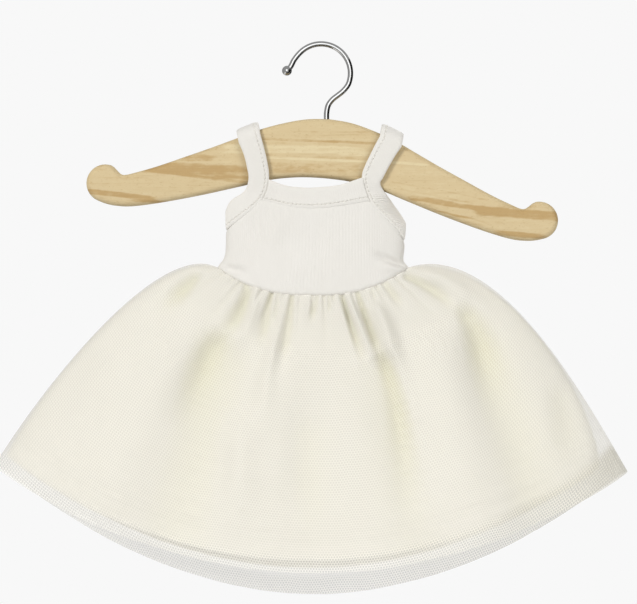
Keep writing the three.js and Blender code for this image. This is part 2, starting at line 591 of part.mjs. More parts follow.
function makeSkirtLayer(layerName, layer, material) {
  const columns = gatherColumns();
  const rows = range(layer.rows - 1).map((u) => u ** ROW_SPREAD);
  const sides = [['front', -1, FRONT_FOLDS], ['back', 1, BACK_FOLDS]];
  for (const [face, facing, folds] of sides) {
    const rise = (v, t) => {
      const u = columns.indexOf(v) / (columns.length - 1);
      return foldHeight(folds, layer, v, t) + gatherHeight(u, t);
    };
    const geometry = clothOnSurface(skirtSurface(layer, facing), facing, columns, rows, layer.wall, rise);
    addMesh(`${layerName}_${face}`, geometry, material);
  }
}

makeBoard();
makeHook();
makeBodice();
makeNeckBindings();
makeArmholeBinding('armhole_binding_left', LEFT_BINDING);
makeArmholeBinding('armhole_binding_right', RIGHT_BINDING);
makeSkirtLayer('skirt_lining', LINING, MATERIALS.lining);
makeSkirtLayer('skirt_net', NET, MATERIALS.net);

export default dress;
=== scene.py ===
"""A doll's tutu dress on its wooden hanger: rib-knit bodice, jersey skirt and net overskirt.

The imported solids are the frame. Each cloth piece here follows its solid's surface, worked
out by the same rules, and adds folds, ribs, stitches and finishes. Tables and sizes are
in millimetres, +Z up, the front facing -Y; MM turns them into Blender's metres.
"""
import math

import bmesh
import bpy
import numpy as np
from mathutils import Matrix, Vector


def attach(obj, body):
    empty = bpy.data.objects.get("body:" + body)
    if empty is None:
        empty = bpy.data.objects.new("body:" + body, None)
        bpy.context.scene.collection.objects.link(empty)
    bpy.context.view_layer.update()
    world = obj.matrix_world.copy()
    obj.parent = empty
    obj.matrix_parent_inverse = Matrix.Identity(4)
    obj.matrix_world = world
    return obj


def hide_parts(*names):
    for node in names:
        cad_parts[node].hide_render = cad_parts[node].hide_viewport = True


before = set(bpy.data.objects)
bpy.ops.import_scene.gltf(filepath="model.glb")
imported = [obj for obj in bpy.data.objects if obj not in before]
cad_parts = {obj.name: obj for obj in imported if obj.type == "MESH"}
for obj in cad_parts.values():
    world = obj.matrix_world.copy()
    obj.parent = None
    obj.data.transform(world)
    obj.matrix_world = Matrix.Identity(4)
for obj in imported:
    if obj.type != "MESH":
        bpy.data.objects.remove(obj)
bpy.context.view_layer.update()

MM = 0.001
BODY = "root"


def table(names, *rows):
    """A short table, as one array for each of its named columns."""
    return dict(zip(names.split(), np.array(rows, float).T))


# ---- sizes shared with the solids ----

SEAM_GAP = 0.3
LAYER_GAP = 0.9

BOARD = {"thickness": 8, "rounding": 2.4, "tilt": math.radians(-4.9), "x": 0.8, "z": -64.6}
KNOB = {"out": 92.4, "up": -1.3, "radius": 8, "from": 105, "to": -75}
BOARD_TOP = table(
    "out up",
    (0, 33.9), (8.5, 33.2), (17, 31.2), (28, 27.4), (39, 22.2), (49, 17.5),
    (60, 12.6), (70.4, 8), (78.7, 4.8), (84.8, 2.9), (87.6, 4.2))
BOARD_UNDERSIDE = table(
    "out up",
    (90, -10.2), (82, -10.2), (70, -7.8), (52, -2.9), (36, 2.1), (22.5, 6.3),
    (10.5, 8.4), (0, 8.9))

WIRE_RADIUS = 1.15
HOOK = {"radius": 12.5, "x": 0.2, "z": -11.2, "from": 135, "to": -20}
HOOK_MOUTH = table("x z", (-12.9, -8.6), (-11.3, -5.6))
HOOK_NECK = table(
    "x z",
    (9.7, -18.6), (7.4, -20.5), (5.0, -22.4), (3.3, -24.7), (2.6, -27.6), (2.5, -31),
    (2.5, -38))
TIP_BALL = {"x": -14.3, "z": -10.1, "radius": 2.1}

BODY_MIDDLE = -2.6
BODY_HALF_WIDTH = 38.8
BODY_SQUARENESS = 0.275
BODY_DEPTH = {"strap": 6.3, "waist": 10.5, "from": -56, "to": -105}
BACK_SHARE = 0.94
BOARD_ZONE = {"above": -54, "below": -64}
WAIST = {"middle": -3.2, "half": 40.8, "side": -93.2, "sag": 12.1, "curve": 2.5}
SIDE_FLARE = {"across": 3.8, "straight": 0.7, "up": 0.25}
UPPER_SEAM_GAP = {"middle": 0.4, "side": 1.08}
NECK_SEAM = table(
    "x z",
    (-25.2, -66), (-22.4, -66.5), (-15.1, -68.2), (-10.9, -68.8), (-4.5, -69.1),
    (1.9, -68.8), (10.4, -67.6), (19.9, -66))
NECK_EDGE = table(
    "x z",
    (-21.5, -56.7), (-16.8, -58.6), (-13, -59.5), (-8.8, -59.9), (-4.5, -60.1),
    (4, -59.5), (8.2, -58.9), (11.6, -57.8), (17.2, -55.9))
BACK_NECK_DROP = 1.2

LEFT_BINDING = table(
    "free_x free_z seam_x seam_z roll",
    (-34.6, -41.2, -25.4, -37.6, 0), (-33.0, -44.8, -24.3, -41.6, 0),
    (-31.9, -48.2, -23.2, -46.0, 0), (-31.1, -51.8, -22.3, -50.2, 0),
    (-30.5, -55.4, -21.8, -54.2, 0), (-31.0, -58.8, -21.9, -58.6, 0),
    (-32.1, -61.2, -23.0, -62.5, 0), (-34.0, -62.8, -25.2, -66.0, 0),
    (-36.0, -63.9, -28.3, -69.1, 0), (-38.0, -65.2, -32.1, -71.8, 0),
    (-39.5, -67.0, -36.0, -74.6, 0), (-40.4, -69.0, -40.3, -77.6, 0))
RIGHT_BINDING = table(
    "free_x free_z seam_x seam_z roll",
    (34.2, -42.8, 25.0, -38.4, 0), (31.8, -46.2, 22.9, -42.2, 0),
    (29.8, -49.6, 20.8, -46.4, 0), (28.0, -52.8, 18.9, -50.4, 0),
    (26.3, -56.2, 17.5, -54.4, 0), (24.6, -59.2, 17.8, -58.6, 0.2),
    (26.2, -63.2, 19.2, -63.0, 1.6), (28.4, -66.6, 21.0, -66.4, 4.6),
    (30.8, -69.8, 24.5, -70.3, 5.2), (33.2, -72.8, 28.6, -74.0, 4.0),
    (35.2, -75.0, 32.4, -77.6, 2.0), (36.2, -76.6, 35.8, -82.0, 0))
ROLL_CURVE = 1.7
RIGHT_SPREAD = {"front": 3.0, "back": 2.2, "from": 0.4}
STRAP_BEND = {"outward": 1.4, "lift": 0.4}

FAN_POWER = 4.2
WAIST_SQUARENESS = 0.55
HEM_SQUARENESS = 0.9

# The skirt layers. Pairs are (front, back) for sag and depth, and (left, right) for how
# each thread springs from the waist and droops to the hem.
NET = {
    "left": (-138.8, -177.7), "right": (130.6, -180.2), "curve": 2, "puff": 1.8,
    "sag": (42, 56), "depth": (26, 23), "inset": 0, "side_drop": 0,
    "spring": (67, 60), "droop": (17, 17), "leaving": (0.22, 0.31), "arriving": (0.3, 0.3),
}
LINING = {
    "left": (-133.2, -173.6), "right": (118.3, -178.8), "curve": 2.1, "puff": 1.6,
    "sag": (40, 47), "depth": (23, 20.2), "inset": LAYER_GAP, "side_drop": 0.8,
    "spring": (64, 60), "droop": (24, 44), "leaving": (0.25, 0.34), "arriving": (0.2, 0.24),
}

# ---- finer forms, made only here ----

# Thickness of each cloth, and how far its surface stands out past its solid's.
CLOTH = {"bodice": 0.9, "binding": 1.7, "lining": 0.6}
PROUD = {"bodice": -0.1, "neck": 0.3, "net": -0.25}
RIBS = {"bodice": 84, "neck": 45, "points": 6}
RIB = {"pitch": 1.0, "height": 0.042, "binding": 0.012, "neck": 0.026, "rolled": 0.13, "even": 0.6}
SEAM_DITCH = {"depth": 0.45, "width": 1.2, "skirt": 0.8}
TUCK = {"top": 0.035, "waist": 0.03, "in": 0.8, "neck": 0.3}

# Folded strips: their width, where their stitches lie across them, and their points.
STRIP = {"width": 9, "neck_row": 0.81, "strap_row": 0.2, "places": 19, "near_row": 9, "edge": 5}
STRAP = {"sections": 330, "bend": 90, "seam": 67, "end": 9, "turned": 40, "full_roll": 3}
STITCH = {"radius": 0.18, "gap": 0.6, "pitch": 1.8, "rings": 7, "sides": 8}
GROOVE = {"depth": 0.46, "width": 0.22, "hole": 0.32, "between": 0.12}
HEM = {
    "turned": 12.6, "step": 0.22, "ease": 0.8, "rows": (8.5, 11.9), "pitch": 2.8,
    "roll": {"depth": 0.35, "width": 0.7}, "sewn": {"depth": 0.16, "width": 0.5},
}

# How near its poles a ball's first and last rings lie, as an angle from its middle.
BALL_REACH = {"hook": math.radians(89), "stitch": 0.49 * math.pi}

# Points of the meshes. Those down a skirt layer lie closer near the waist.
BOARD_POINTS = {"knob": 40, "top": 90, "underside": 70, "thinned": 3, "rounding": 9}
HOOK_POINTS = {"arc": 25, "smooth": 6, "around_wire": 28, "ball_rings": 20, "around_ball": 32}
BODICE_ROWS = 48
LINING_MESH = {"columns": 361, "rows": 96, "crowding": 1.2}
NET_MESH = {"columns": 421, "rows": 100, "crowding": 1.15}
GATHER = {
    "count": 19, "reach": 0.94, "shift": (-0.22, 0.22), "depth": (0.5, 1.25),
    "length": (0.09, 0.3), "lean": (-0.05, 0.05), "wide": (0.013, 0.02), "spread": 0.05,
    "fade": 1.3, "puff": {"height": 0.55, "length": 0.3, "fade": 1.5},
}
SKIRT_SEED = {-1: 21, 1: 22}

# Slow unevenness of the cloth: its height, its size, how far it is drawn out, its seed.
WAVER = {
    "bodice": (0.22, 26, 1, 3), "ribs": (0.4, 15, 1, 8), "skirt": (0.8, 46, 0.6, 5),
    "skirt_fine": (0.22, 17, 0.7, 9), "net_edge": (0.9, 24, 1, 10),
}
WAVER_STARTS = {"skirt": 3, "skirt_fine": 5}
SEAM_EASE = {"height": 0.4, "over": 0.1}
# Painted shade in the skirt's folds: the crease depth that takes the full fold colour, and the
# width below which a crease counts in full.
FOLD_SHADE = {"deep": 3.0, "narrow": 3.6}
CREASE_STRENGTH = {"seam": 1.02, "free": 1.9}
CREASE_FORM = {"places": 33, "reach": 3, "begins": (-0.02, 0.3), "ends": (0.5, 1.0)}
SIDE_CALM = {"bodice": 8, "skirt": 6}

# The net: its cells, its free margin below the lining as a share of its length, and how
# much its holes and its threads hide in each part, "corner" being the margin's right end.
NET_CELL = {"across": 1.15, "thread": 0.17, "sway": 0.25}
NET_MARGIN = {"left": 0.055, "right": 0.1, "above": 0.02, "below": 0.01}
NET_FADES = {"gathered": (0.04, 0.6), "turned": (0.88, 1), "flutter": (0.82, 1)}
NET_HOLES = {"open": 0.38, "gathered": 0.52, "turned": 0.5, "margin": 0.37, "corner": 0.55}
NET_THREADS = {"open": 0.49, "margin": 0.66, "corner": 0.9, "over_holes": 0.05}

# Creases of the skirt, seen from the front: a line through three places from its start
# to its end, its half-width at each end, its height (negative for a valley), and 1 where
# it starts at the waist seam. Back creases are placed the same way, seen from the front.
CREASE = "x0 z0 x1 z1 x2 z2 wide0 wide1 height seam"
FRONT_CREASES = table(
    CREASE,
    (-50.4, -94.5, -58, -102, -69, -114, 1.8, 4.5, -1.9, 0),
    (-55, -92, -66, -99, -80, -114, 3, 6, 1.0, 0),
    (-31.3, -100.3, -34, -112, -45, -128, 1.6, 4.2, -2.6, 1),
    (-40, -119, -50, -137, -60, -168, 4.0, 8, -1.7, 0),
    (-27, -101, -29, -114, -36, -132, 1.5, 3.5, 1.6, 1),
    (-20.7, -103.7, -23, -116, -25.5, -134, 1.1, 2.6, -1.9, 1),
    (-17.7, -104.6, -19, -112, -20.9, -121, 0.8, 1.5, -1.2, 1),
    (-12.2, -105.8, -15, -124, -22, -152, 1.1, 3.2, -2.0, 1),
    (-16, -112, -22, -140, -29, -176, 2.5, 6, 1.2, 0),
    (-1.5, -105.8, -2.8, -111, -5, -119.5, 0.9, 1.8, -1.7, 1),
    (3.4, -105.8, 3.6, -110, 3.3, -114.5, 0.8, 1.2, -1.5, 1),
    (8.5, -105.4, 13.8, -120.3, 19.5, -138, 0.9, 1.8, -2.4, 1),
    (12, -106, 17.5, -121, 24, -138, 1.3, 2.2, 1.8, 1),
    (15.5, -104.6, 22, -122.4, 29, -139, 1.1, 2.4, -2.9, 1),
    (24, -128, 33, -152, 39, -208, 2.6, 6, -2.4, 0),
    (20.5, -108, 31, -134, 45.5, -212, 2.4, 6.5, 2.0, 0),
    (21.8, -102.9, 22.6, -106, 23.4, -110, 0.9, 1.4, -1.2, 1),
    (27.8, -100.3, 31, -105, 36.5, -112, 1.1, 2.2, -1.7, 1),
    (36.5, -97.5, 48, -103, 61, -112.5, 1.6, 3.4, -2.9, 1),
    (57, -109, 68, -124, 76, -160, 3.2, 8, -2.1, 0),
    (40, -95.5, 56, -100.5, 74, -116, 2.6, 5.5, 1.7, 0),
    (-60, -118, -82, -170, -122, -268, 11, 19, 1.8, 0),
    (-38, -122, -51, -168, -84, -292, 9, 17, -1.9, 0),
    (-14, -126, -21, -170, -33, -292, 10, 17, 1.5, 0),
    (26, -128, 36, -170, 54, -292, 9, 17, -1.3, 0),
    (46, -118, 57, -166, 84, -292, 11, 17, 1.8, 0),
    (65, -116, 81, -164, 120, -280, 8, 16, -1.9, 0),
    (-34, -150, -34, -180, -34, -217, 6.5, 8, 1.9, 0),
    (-84, -128, -96, -148, -108, -176, 6, 9, 1.1, 0),
    (-10, -150, -6, -180, -5, -222, 7, 9, -0.9, 0),
    (100, -140, 104, -160, 106, -184, 5, 8, -0.9, 0))
BACK_CREASES = table(
    CREASE,
    (-47, -95, -58, -104, -72, -122, 1.8, 5, -2.3, 0),
    (-34, -99.5, -41, -116, -55, -142, 1.5, 4, -2.4, 1),
    (-52, -138, -66, -160, -74, -196, 5, 9, -2.2, 0),
    (-25, -102.5, -28, -118, -34, -136, 1.1, 3, -2.0, 1),
    (-30, -118, -42, -150, -50, -206, 4, 8, 1.8, 0),
    (-13.5, -105.5, -15, -116, -16, -126, 0.9, 2, -1.7, 1),
    (-6, -105.8, -9, -134, -17, -182, 1.2, 5, -2.7, 1),
    (2, -105.8, 3, -112, 3.5, -119, 0.9, 1.6, -1.5, 1),
    (0, -122, 4, -160, 6, -226, 4, 9, 1.7, 0),
    (11, -105.2, 15, -122, 22, -148, 1.1, 3.2, -2.4, 1),
    (20, -103.5, 23, -110, 25, -117, 0.9, 1.8, -1.5, 1),
    (27, -100.8, 38, -120, 50, -156, 1.4, 4.5, -2.6, 1),
    (46, -146, 54, -176, 58, -208, 5, 9, -2.0, 0),
    (36, -116, 46, -150, 40, -212, 4, 8, 1.6, 0),
    (37, -97, 50, -104, 66, -120, 1.7, 4.4, -2.3, 1),
    (74, -124, 84, -148, 90, -180, 5, 9, -1.6, 0),
    (-92, -134, -100, -154, -104, -182, 5, 8, 1.2, 0),
    (-62, -118, -80, -168, -116, -280, 9, 18, -1.5, 0),
    (-34, -124, -42, -168, -62, -292, 10, 18, 1.5, 0),
    (-6, -126, -10, -170, -16, -292, 9, 16, -1.4, 0),
    (22, -126, 30, -170, 48, -292, 10, 18, 1.4, 0),
    (58, -118, 74, -168, 108, -290, 9, 18, -1.5, 0))
BODICE_CREASES = table(
    CREASE,
    (37.5, -93.5, 29, -90.5, 20.5, -87, 0.9, 2.4, -0.9, 0),
    (38, -96, 30, -94, 22, -92.5, 1.2, 2.6, 0.5, 0),
    (-42, -93.5, -35, -95, -28, -98, 1.2, 2.4, -0.6, 0),
    (-20, -80, -8, -84, 8, -86, 6, 8, -0.5, 0))

COLOURS = {
    "rib": (0.79, 0.768, 0.72), "rib_shade": (0.77, 0.746, 0.693),
    "jersey": (0.93, 0.904, 0.82), "jersey_shade": (0.915, 0.886, 0.795),
    # painted shade: jersey_fold_shade darkens and warms the lining's folds, net_fold_shade the
    # net's.
    "jersey_fold_shade": (0.87, 0.838, 0.68), "thread": (0.8, 0.775, 0.7),
    "net": (0.83, 0.808, 0.75), "net_shade": (0.81, 0.79, 0.727),
    # painted shade: net_edge darkens the net's free margin towards its right end.
    "net_fold_shade": (0.775, 0.758, 0.63), "net_edge": (0.66, 0.635, 0.55),
    "pine": (0.645, 0.512, 0.295), "pine_light": (0.715, 0.6, 0.37),
    "pine_dark": (0.5, 0.34, 0.15), "pine_fleck": (0.4, 0.25, 0.1),
    "chrome": (0.8, 0.805, 0.8), "floor": (0.93, 0.93, 0.93),
    "backdrop": (0.939, 0.939, 0.939),
}

# Streaks of the pine board, seen from the front: a straight line across it, its
# half-width, and how dark it is (negative for a light streak).
PINE_STREAKS = table(
    "x0 z0 x1 z1 wide dark",
    (-78, -50.4, -26, -54.2, 3.2, 0.7), (-60, -47.0, -42, -47.8, 1.7, 0.5),
    (-76, -52.4, -27, -58.2, 0.7, 0.5), (-104, -60.6, -66, -65.4, 1.3, 1.0),
    (-84, -65.2, -48, -67.0, 0.6, 0.8), (-30, -39.2, 26, -41.7, 0.7, 0.6),
    (-46, -43.2, 24, -45.3, 2.2, -0.9), (-34, -46.8, 50, -50.6, 0.55, -0.8),
    (-26, -51.0, 22, -53.2, 2.8, 0.4), (26, -57.0, 76, -66.2, 0.35, 0.35),
    (28, -60.0, 68, -67.2, 0.4, 0.4), (33, -63.4, 78, -70.6, 1.2, 0.75),
    (44, -68.2, 72, -75.4, 0.5, 0.6), (62, -69.4, 108, -73.2, 2.2, 0.95),
    (71, -78.7, 97, -81.3, 1.1, 0.8))
STREAK_END = 7

CAMERA = {"lens": 150, "sensor": 36, "distance": 1128, "x": -0.9, "z": -108.4}
FLOOR = {"z": -300, "radius": 520, "sides": 64, "rings": 6}
DOME = 0.34
AIM = (0, 0, -120)
# Lamps: name, place, size in metres, power in watts, and the surfaces that don't see it.
LIGHTS = (
    ("key", (-1800, -2000, 1200), 0.9, 60, "glossy"),
    ("fill", (1400, -1200, 250), 1, 13.5, "glossy"),
    ("back", (1100, 2200, 1200), 1.2, 48, "glossy"),
    ("front", (-150, -1500, 250), 1, 4, "diffuse"))
# Cards: name, one corner, the two sides that start from it, and how light its grey is.
CARDS = (
    ("card_right", (230, -330, -290), (0, 600, 0), (0, 0, 420), 0.008),
    ("card_low", (-150, -330, -290), (380, 0, 0), (0, 600, 0), 0.008),
    ("card_left", (-560, 270, -450), (0, 300, 0), (0, 0, 900), 0.2))


# ---- small helpers ----

def lerp(a, b, share):
    return a + (b - a) * share


def clamp01(value):
    return np.clip(value, 0.0, 1.0)


def smoothstep(value, low, high):
    x = clamp01((value - low) / (high - low))
    return x * x * (3 - 2 * x)


def sign_power(value, power):
    return np.sign(value) * np.abs(value) ** power


def unit(vectors):
    return vectors / np.maximum(np.linalg.norm(vectors, axis=-1, keepdims=True), 1e-9)


def square_to(grid):
    """Directions square to a grid of points, not yet of length 1."""
    return np.cross(np.gradient(grid, axis=1), np.gradient(grid, axis=0))


def cubic_shares(t):
    """Shares of a cubic curve's four guiding points at places 0..1 along it."""
    return (1 - t) ** 3, 3 * t * (1 - t) ** 2, 3 * t ** 2 * (1 - t), t ** 3


def round_places(centre_x, centre_z, radius, degrees):
    """Points (x, z) of an arc."""
    angle = np.radians(degrees)
    return np.stack([centre_x + radius * np.cos(angle), centre_z + radius * np.sin(angle)], axis=1)


def read_sections(sections, share):
    """Smooth reading of every column of a table at shares 0..1 of its length."""
    count = len(next(iter(sections.values())))
    place = np.asarray(share, float) * (count - 1)
    i = np.minimum(place.astype(int), count - 2)
    f = place - i
    result = {}
    for name, column in sections.items():
        a, b, c, d = (column[np.clip(i + k, 0, count - 1)] for k in (-1, 0, 1, 2))
        slopes = (c - a) * f + (2 * a - 5 * b + 4 * c - d) * f ** 2
        result[name] = b + (slopes + (3 * b - a - 3 * c + d) * f ** 3) / 2
    return result


def smooth_line(points, steps):
    """A smooth line through unevenly spaced points, `steps` places to each stretch."""
    points = np.asarray(points, float)
    at = np.concatenate([[0], np.cumsum(np.linalg.norm(np.diff(points, axis=0), axis=1))])
    slopes = np.gradient(points, at, axis=0)
    places = [points[:1]]
    for i in range(len(points) - 1):
        f = (np.arange(steps) + 1)[:, None] / steps
        span = at[i + 1] - at[i]
        ends = (2 * f ** 3 - 3 * f ** 2 + 1) * points[i] + (3 * f ** 2 - 2 * f ** 3) * points[i + 1]
        pulls = (f ** 3 - 2 * f ** 2 + f) * slopes[i] + (f ** 3 - f ** 2) * slopes[i + 1]
        places.append(ends + span * pulls)
    return np.concatenate(places)


def grid_quads(rows, columns, start=0):
    """Faces of a grid of rows x columns points, numbered row by row."""
    r, c = np.meshgrid(np.arange(rows - 1), np.arange(columns - 1), indexing="ij")
    corner = (start + r * columns + c).ravel()
    return np.stack([corner, corner + 1, corner + columns + 1, corner + columns], axis=1)


def ring_quads(rings, sides):
    """Faces between closed rings of points, numbered ring by ring."""
    number = np.arange(rings * sides).reshape(rings, sides)
    after = np.roll(number, -1, axis=1)
    return np.stack([number[:-1], number[1:], after[1:], after[:-1]], axis=-1).reshape(-1, 4)


def make_object(name, places, quads, material, cloth=None, marks=None):
    """A smooth mesh from points in millimetres; `cloth` is each point's place on the cloth.

    `marks` are more values at each point, by name, for the material to read.
    """
    mesh = bpy.data.meshes.new(name)
    mesh.vertices.add(len(places))
    mesh.vertices.foreach_set("co", (np.asarray(places) * MM).ravel())
    mesh.loops.add(quads.size)
    mesh.loops.foreach_set("vertex_index", quads.ravel().astype(np.int32))
    mesh.polygons.add(len(quads))
    mesh.polygons.foreach_set("loop_start", np.arange(0, quads.size, 4, dtype=np.int32))
    mesh.update(calc_edges=True)
    if cloth is not None:
        layer = mesh.uv_layers.new(name="Cloth")
        layer.data.foreach_set("uv", (cloth[quads.ravel()] * MM).ravel())
    for mark, values in (marks or {}).items():
        mesh.attributes.new(mark, "FLOAT", "POINT").data.foreach_set("value", values.ravel())
    mesh.validate()
    mesh.polygons.foreach_set("use_smooth", np.ones(len(mesh.polygons), bool))
    mesh.materials.append(material)
    piece = bpy.data.objects.new(name, mesh)
    bpy.context.scene.collection.objects.link(piece)
    return piece


def lengths_along(grid, axis):
    """Distance along a grid's rows (axis 1) or columns (axis 0) from their start."""
    steps = np.linalg.norm(np.diff(grid, axis=axis), axis=-1)
    start = np.zeros_like(np.take(steps, [0], axis=axis))
    return np.concatenate([start, np.cumsum(steps, axis=axis)], axis=axis)


def cloth_places(grid):
    """Each grid point's place on the cloth: across from the middle, and down."""
    across = lengths_along(grid, 1)
    middle = across[:, grid.shape[1] // 2][:, None]
    return np.stack([across - middle, lengths_along(grid, 0)], axis=-1)


def make_shell(name, outer, inner, material, cloth=None, fold=None):
    """A closed wall between two grids of points that match one to one."""
    rows, columns = outer.shape[:2]
    half = rows * columns
    number = np.arange(half).reshape(rows, columns)
    faces = [grid_quads(rows, columns), grid_quads(rows, columns, half)[:, ::-1]]
    for rim in (number[:, 0][::-1], number[:, -1], number[0], number[-1][::-1]):
        faces.append(np.stack([rim[:-1], rim[:-1] + half, rim[1:] + half, rim[1:]], axis=1))
    quads = np.concatenate(faces)
    places = np.concatenate([outer.reshape(-1, 3), inner.reshape(-1, 3)])
    cloth = cloth_places(outer) if cloth is None else cloth
    both = np.concatenate([cloth.reshape(-1, 2)] * 2)
    middle = outer[rows // 2, columns // 2] - inner[rows // 2, columns // 2]
    a, b, c = (outer[rows // 2 + i, columns // 2 + j] for i, j in ((0, 0), (0, 1), (1, 1)))
    if np.dot(np.cross(b - a, c - a), middle) < 0:
        quads = quads[:, ::-1]
    marks = None if fold is None else {"fold": np.concatenate([fold.ravel()] * 2)}
    return make_object(name, places, quads, material, both, marks)


def surface_normals(grid, facing):
    """Outward directions of a cloth grid; at the side folds they point straight sideways."""
    outward = square_to(grid)
    outward[:, [0, -1], 1] = 0
    return unit(outward) * facing


def ripple(x, z, size, seed):
    """Gentle unevenness between -1 and 1, about `size` across, the same on every run."""
    turns = np.random.default_rng(seed).uniform(0, 2 * math.pi, (6, 2))
    total = np.zeros_like(x)
    for k, (angle, phase) in enumerate(turns):
        wave = 2 * math.pi / (size * (1 + 0.25 * k))
        total += np.sin((x * math.cos(angle) + z * math.sin(angle)) * wave + phase)
    return total / 3.5


def waver(kind, x, z, seed=0):
    """Height of one kind of slow unevenness."""
    height, size, drawn_out, shift = WAVER[kind]
    return height * ripple(x, z * drawn_out, size, seed + shift)


def crease_height(creases, x, z):
    """Height of all the creases of a table, and how deep in a narrow one each place lies, which
    sets the painted shade in folds.
    """
    total, depth = np.zeros_like(x), np.zeros_like(x)
    for row in zip(*creases.values()):
        x0, z0, x1, z1, x2, z2, wide0, wide1, height, seam = row
        height = height * CREASE_STRENGTH["seam" if seam else "free"]
        reach = max(wide0, wide1) * CREASE_FORM["reach"]
        near = (x > min(x0, x1, x2) - reach) & (x < max(x0, x1, x2) + reach)
        near &= (z > min(z0, z1, z2) - reach) & (z < max(z0, z1, z2) + reach)
        share = np.linspace(0, 1, CREASE_FORM["places"])
        bend_x, bend_z = 2 * x1 - (x0 + x2) / 2, 2 * z1 - (z0 + z2) / 2
        line_x = (1 - share) ** 2 * x0 + 2 * share * (1 - share) * bend_x + share ** 2 * x2
        line_z = (1 - share) ** 2 * z0 + 2 * share * (1 - share) * bend_z + share ** 2 * z2
        away = np.hypot(x[near][:, None] - line_x, z[near][:, None] - line_z)
        closest = away.argmin(axis=1)
        along = share[closest]
        wide = lerp(wide0, wide1, along)
        start = 1.0 if seam else smoothstep(along, *CREASE_FORM["begins"])
        fade = start * (1 - smoothstep(along, *CREASE_FORM["ends"]))
        rise = height * fade * np.exp(-(away.min(axis=1) / wide) ** 2)
        total[near] += rise
        depth[near] -= rise * np.minimum(1, FOLD_SHADE["narrow"] / wide)
    return total, depth


# ---- materials ----

class Finish:
    """A node material being made: its nodes, and one Principled shader."""

    def __init__(self, name, **fixed):
        self.material = bpy.data.materials.new(name)
        self.material.use_nodes = True
        self.tree = self.material.node_tree
        self.shader = self.tree.nodes["Principled BSDF"]
        for socket, value in fixed.items():
            words = socket.replace("_", " ").title().replace("Ior", "IOR")
            self.shader.inputs[words].default_value = value

    def add(self, kind, inputs=None, output=0, **settings):
        node = self.tree.nodes.new(kind)
        for name, value in settings.items():
            setattr(node, name, value)
        for socket, value in (inputs or {}).items():
            self.feed(node.inputs[socket], value)
        return node.outputs[output]

    def feed(self, socket, value):
        if isinstance(value, bpy.types.NodeSocket):
            self.tree.links.new(value, socket)
        else:
            socket.default_value = value

    def paint(self, colour):
        self.feed(self.shader.inputs["Base Color"], colour)

    def math(self, operation, a, b=0.0, c=0.0):
        return self.add("ShaderNodeMath", {0: a, 1: b, 2: c}, operation=operation)

    def ramp(self, value, low, high, start=0.0, end=1.0):
        inputs = {"Value": value, "From Min": low, "From Max": high, "To Min": start, "To Max": end}
        return self.add("ShaderNodeMapRange", inputs, interpolation_type="SMOOTHSTEP")

    def mix(self, share, a, b):
        inputs = {"Factor": share, 6: (*a, 1) if isinstance(a, tuple) else a, 7: (*b, 1)}
        return self.add("ShaderNodeMix", inputs, output=2, data_type="RGBA")

    def split(self, place, *parts):
        """A place, and two of its three values on their own."""
        node = self.tree.nodes.new("ShaderNodeSeparateXYZ")
        self.feed(node.inputs[0], place)
        return place, *(node.outputs[part] for part in parts)

    def cloth(self):
        """Place on the cloth, in metres, with its distances across and down."""
        return self.split(self.add("ShaderNodeUVMap", uv_map="Cloth"), 0, 1)

    def mark(self, name):
        return self.add("ShaderNodeAttribute", output=2, attribute_name=name)

    def object_place(self):
        """Place in the piece, in metres, with its x and its z."""
        return self.split(self.add("ShaderNodeTexCoord", output=3), 0, 2)

    def noise(self, place, scale, detail=2.0, roughness=0.5, stretch=(1, 1, 1)):
        moved = self.add("ShaderNodeMapping", {"Vector": place, "Scale": stretch})
        inputs = {"Vector": moved, "Scale": scale, "Detail": detail, "Roughness": roughness}
        return self.add("ShaderNodeTexNoise", inputs)

    def bump(self, height, distance, strength=1.0):
        inputs = {"Height": height, "Distance": distance, "Strength": strength}
        self.feed(self.shader.inputs["Normal"], self.add("ShaderNodeBump", inputs))

    def knit(self, across, down, stitch, slant):
        """Height of the V-shaped loops of a knit, `stitch` wide and as long again."""
        column = self.math("PINGPONG", across, stitch / 2)
        tilted = self.math("MULTIPLY_ADD", column, slant, down)
        loops = self.math("SINE", self.math("MULTIPLY", tilted, 2 * math.pi / stitch))
        groove = self.math("SINE", self.math("MULTIPLY", column, 2 * math.pi / stitch))
        return self.math("MULTIPLY_ADD", loops, 0.5, groove)


def knit_finish(name, colour, shade, stitch, slant, depth, fold=None):
    """Brushed cotton knit: loops, a little fuzz, slow drifts of colour, painted shade in the loops'
    hollows and, given `fold`, painted shade in the cloth's folds.
    """
    made = Finish(
        name, roughness=0.88, sheen_weight=0.22, sheen_roughness=0.45, specular_ior_level=0.2)
    place, across, down = made.cloth()
    loops = made.knit(across, down, stitch, slant)
    fuzz = made.noise(place, 2600, detail=3)
    drift = made.noise(place, 45, detail=3, roughness=0.6)
    yarn = made.noise(place, 900, detail=2, stretch=(1, 0.15, 1))
    share = made.math("MULTIPLY_ADD", yarn, 0.35, made.ramp(drift, 0.3, 0.75, 0, 0.55))
    # painted shade: the low parts of the knit's loops take more of the darker colour
    loop_hollow_shade = made.ramp(loops, -1.4, 0.6, 0.15, 0)
    tone = made.math("ADD", share, loop_hollow_shade)
    tint = made.mix(tone, COLOURS[colour], COLOURS[shade])
    # painted shade: deep folds take a darker, warmer colour
    if fold:
        tint = made.mix(made.mark("fold"), tint, COLOURS[fold])
    made.paint(tint)
    made.bump(made.math("MULTIPLY_ADD", fuzz, 0.7, loops), depth, 0.6)
    return made.material


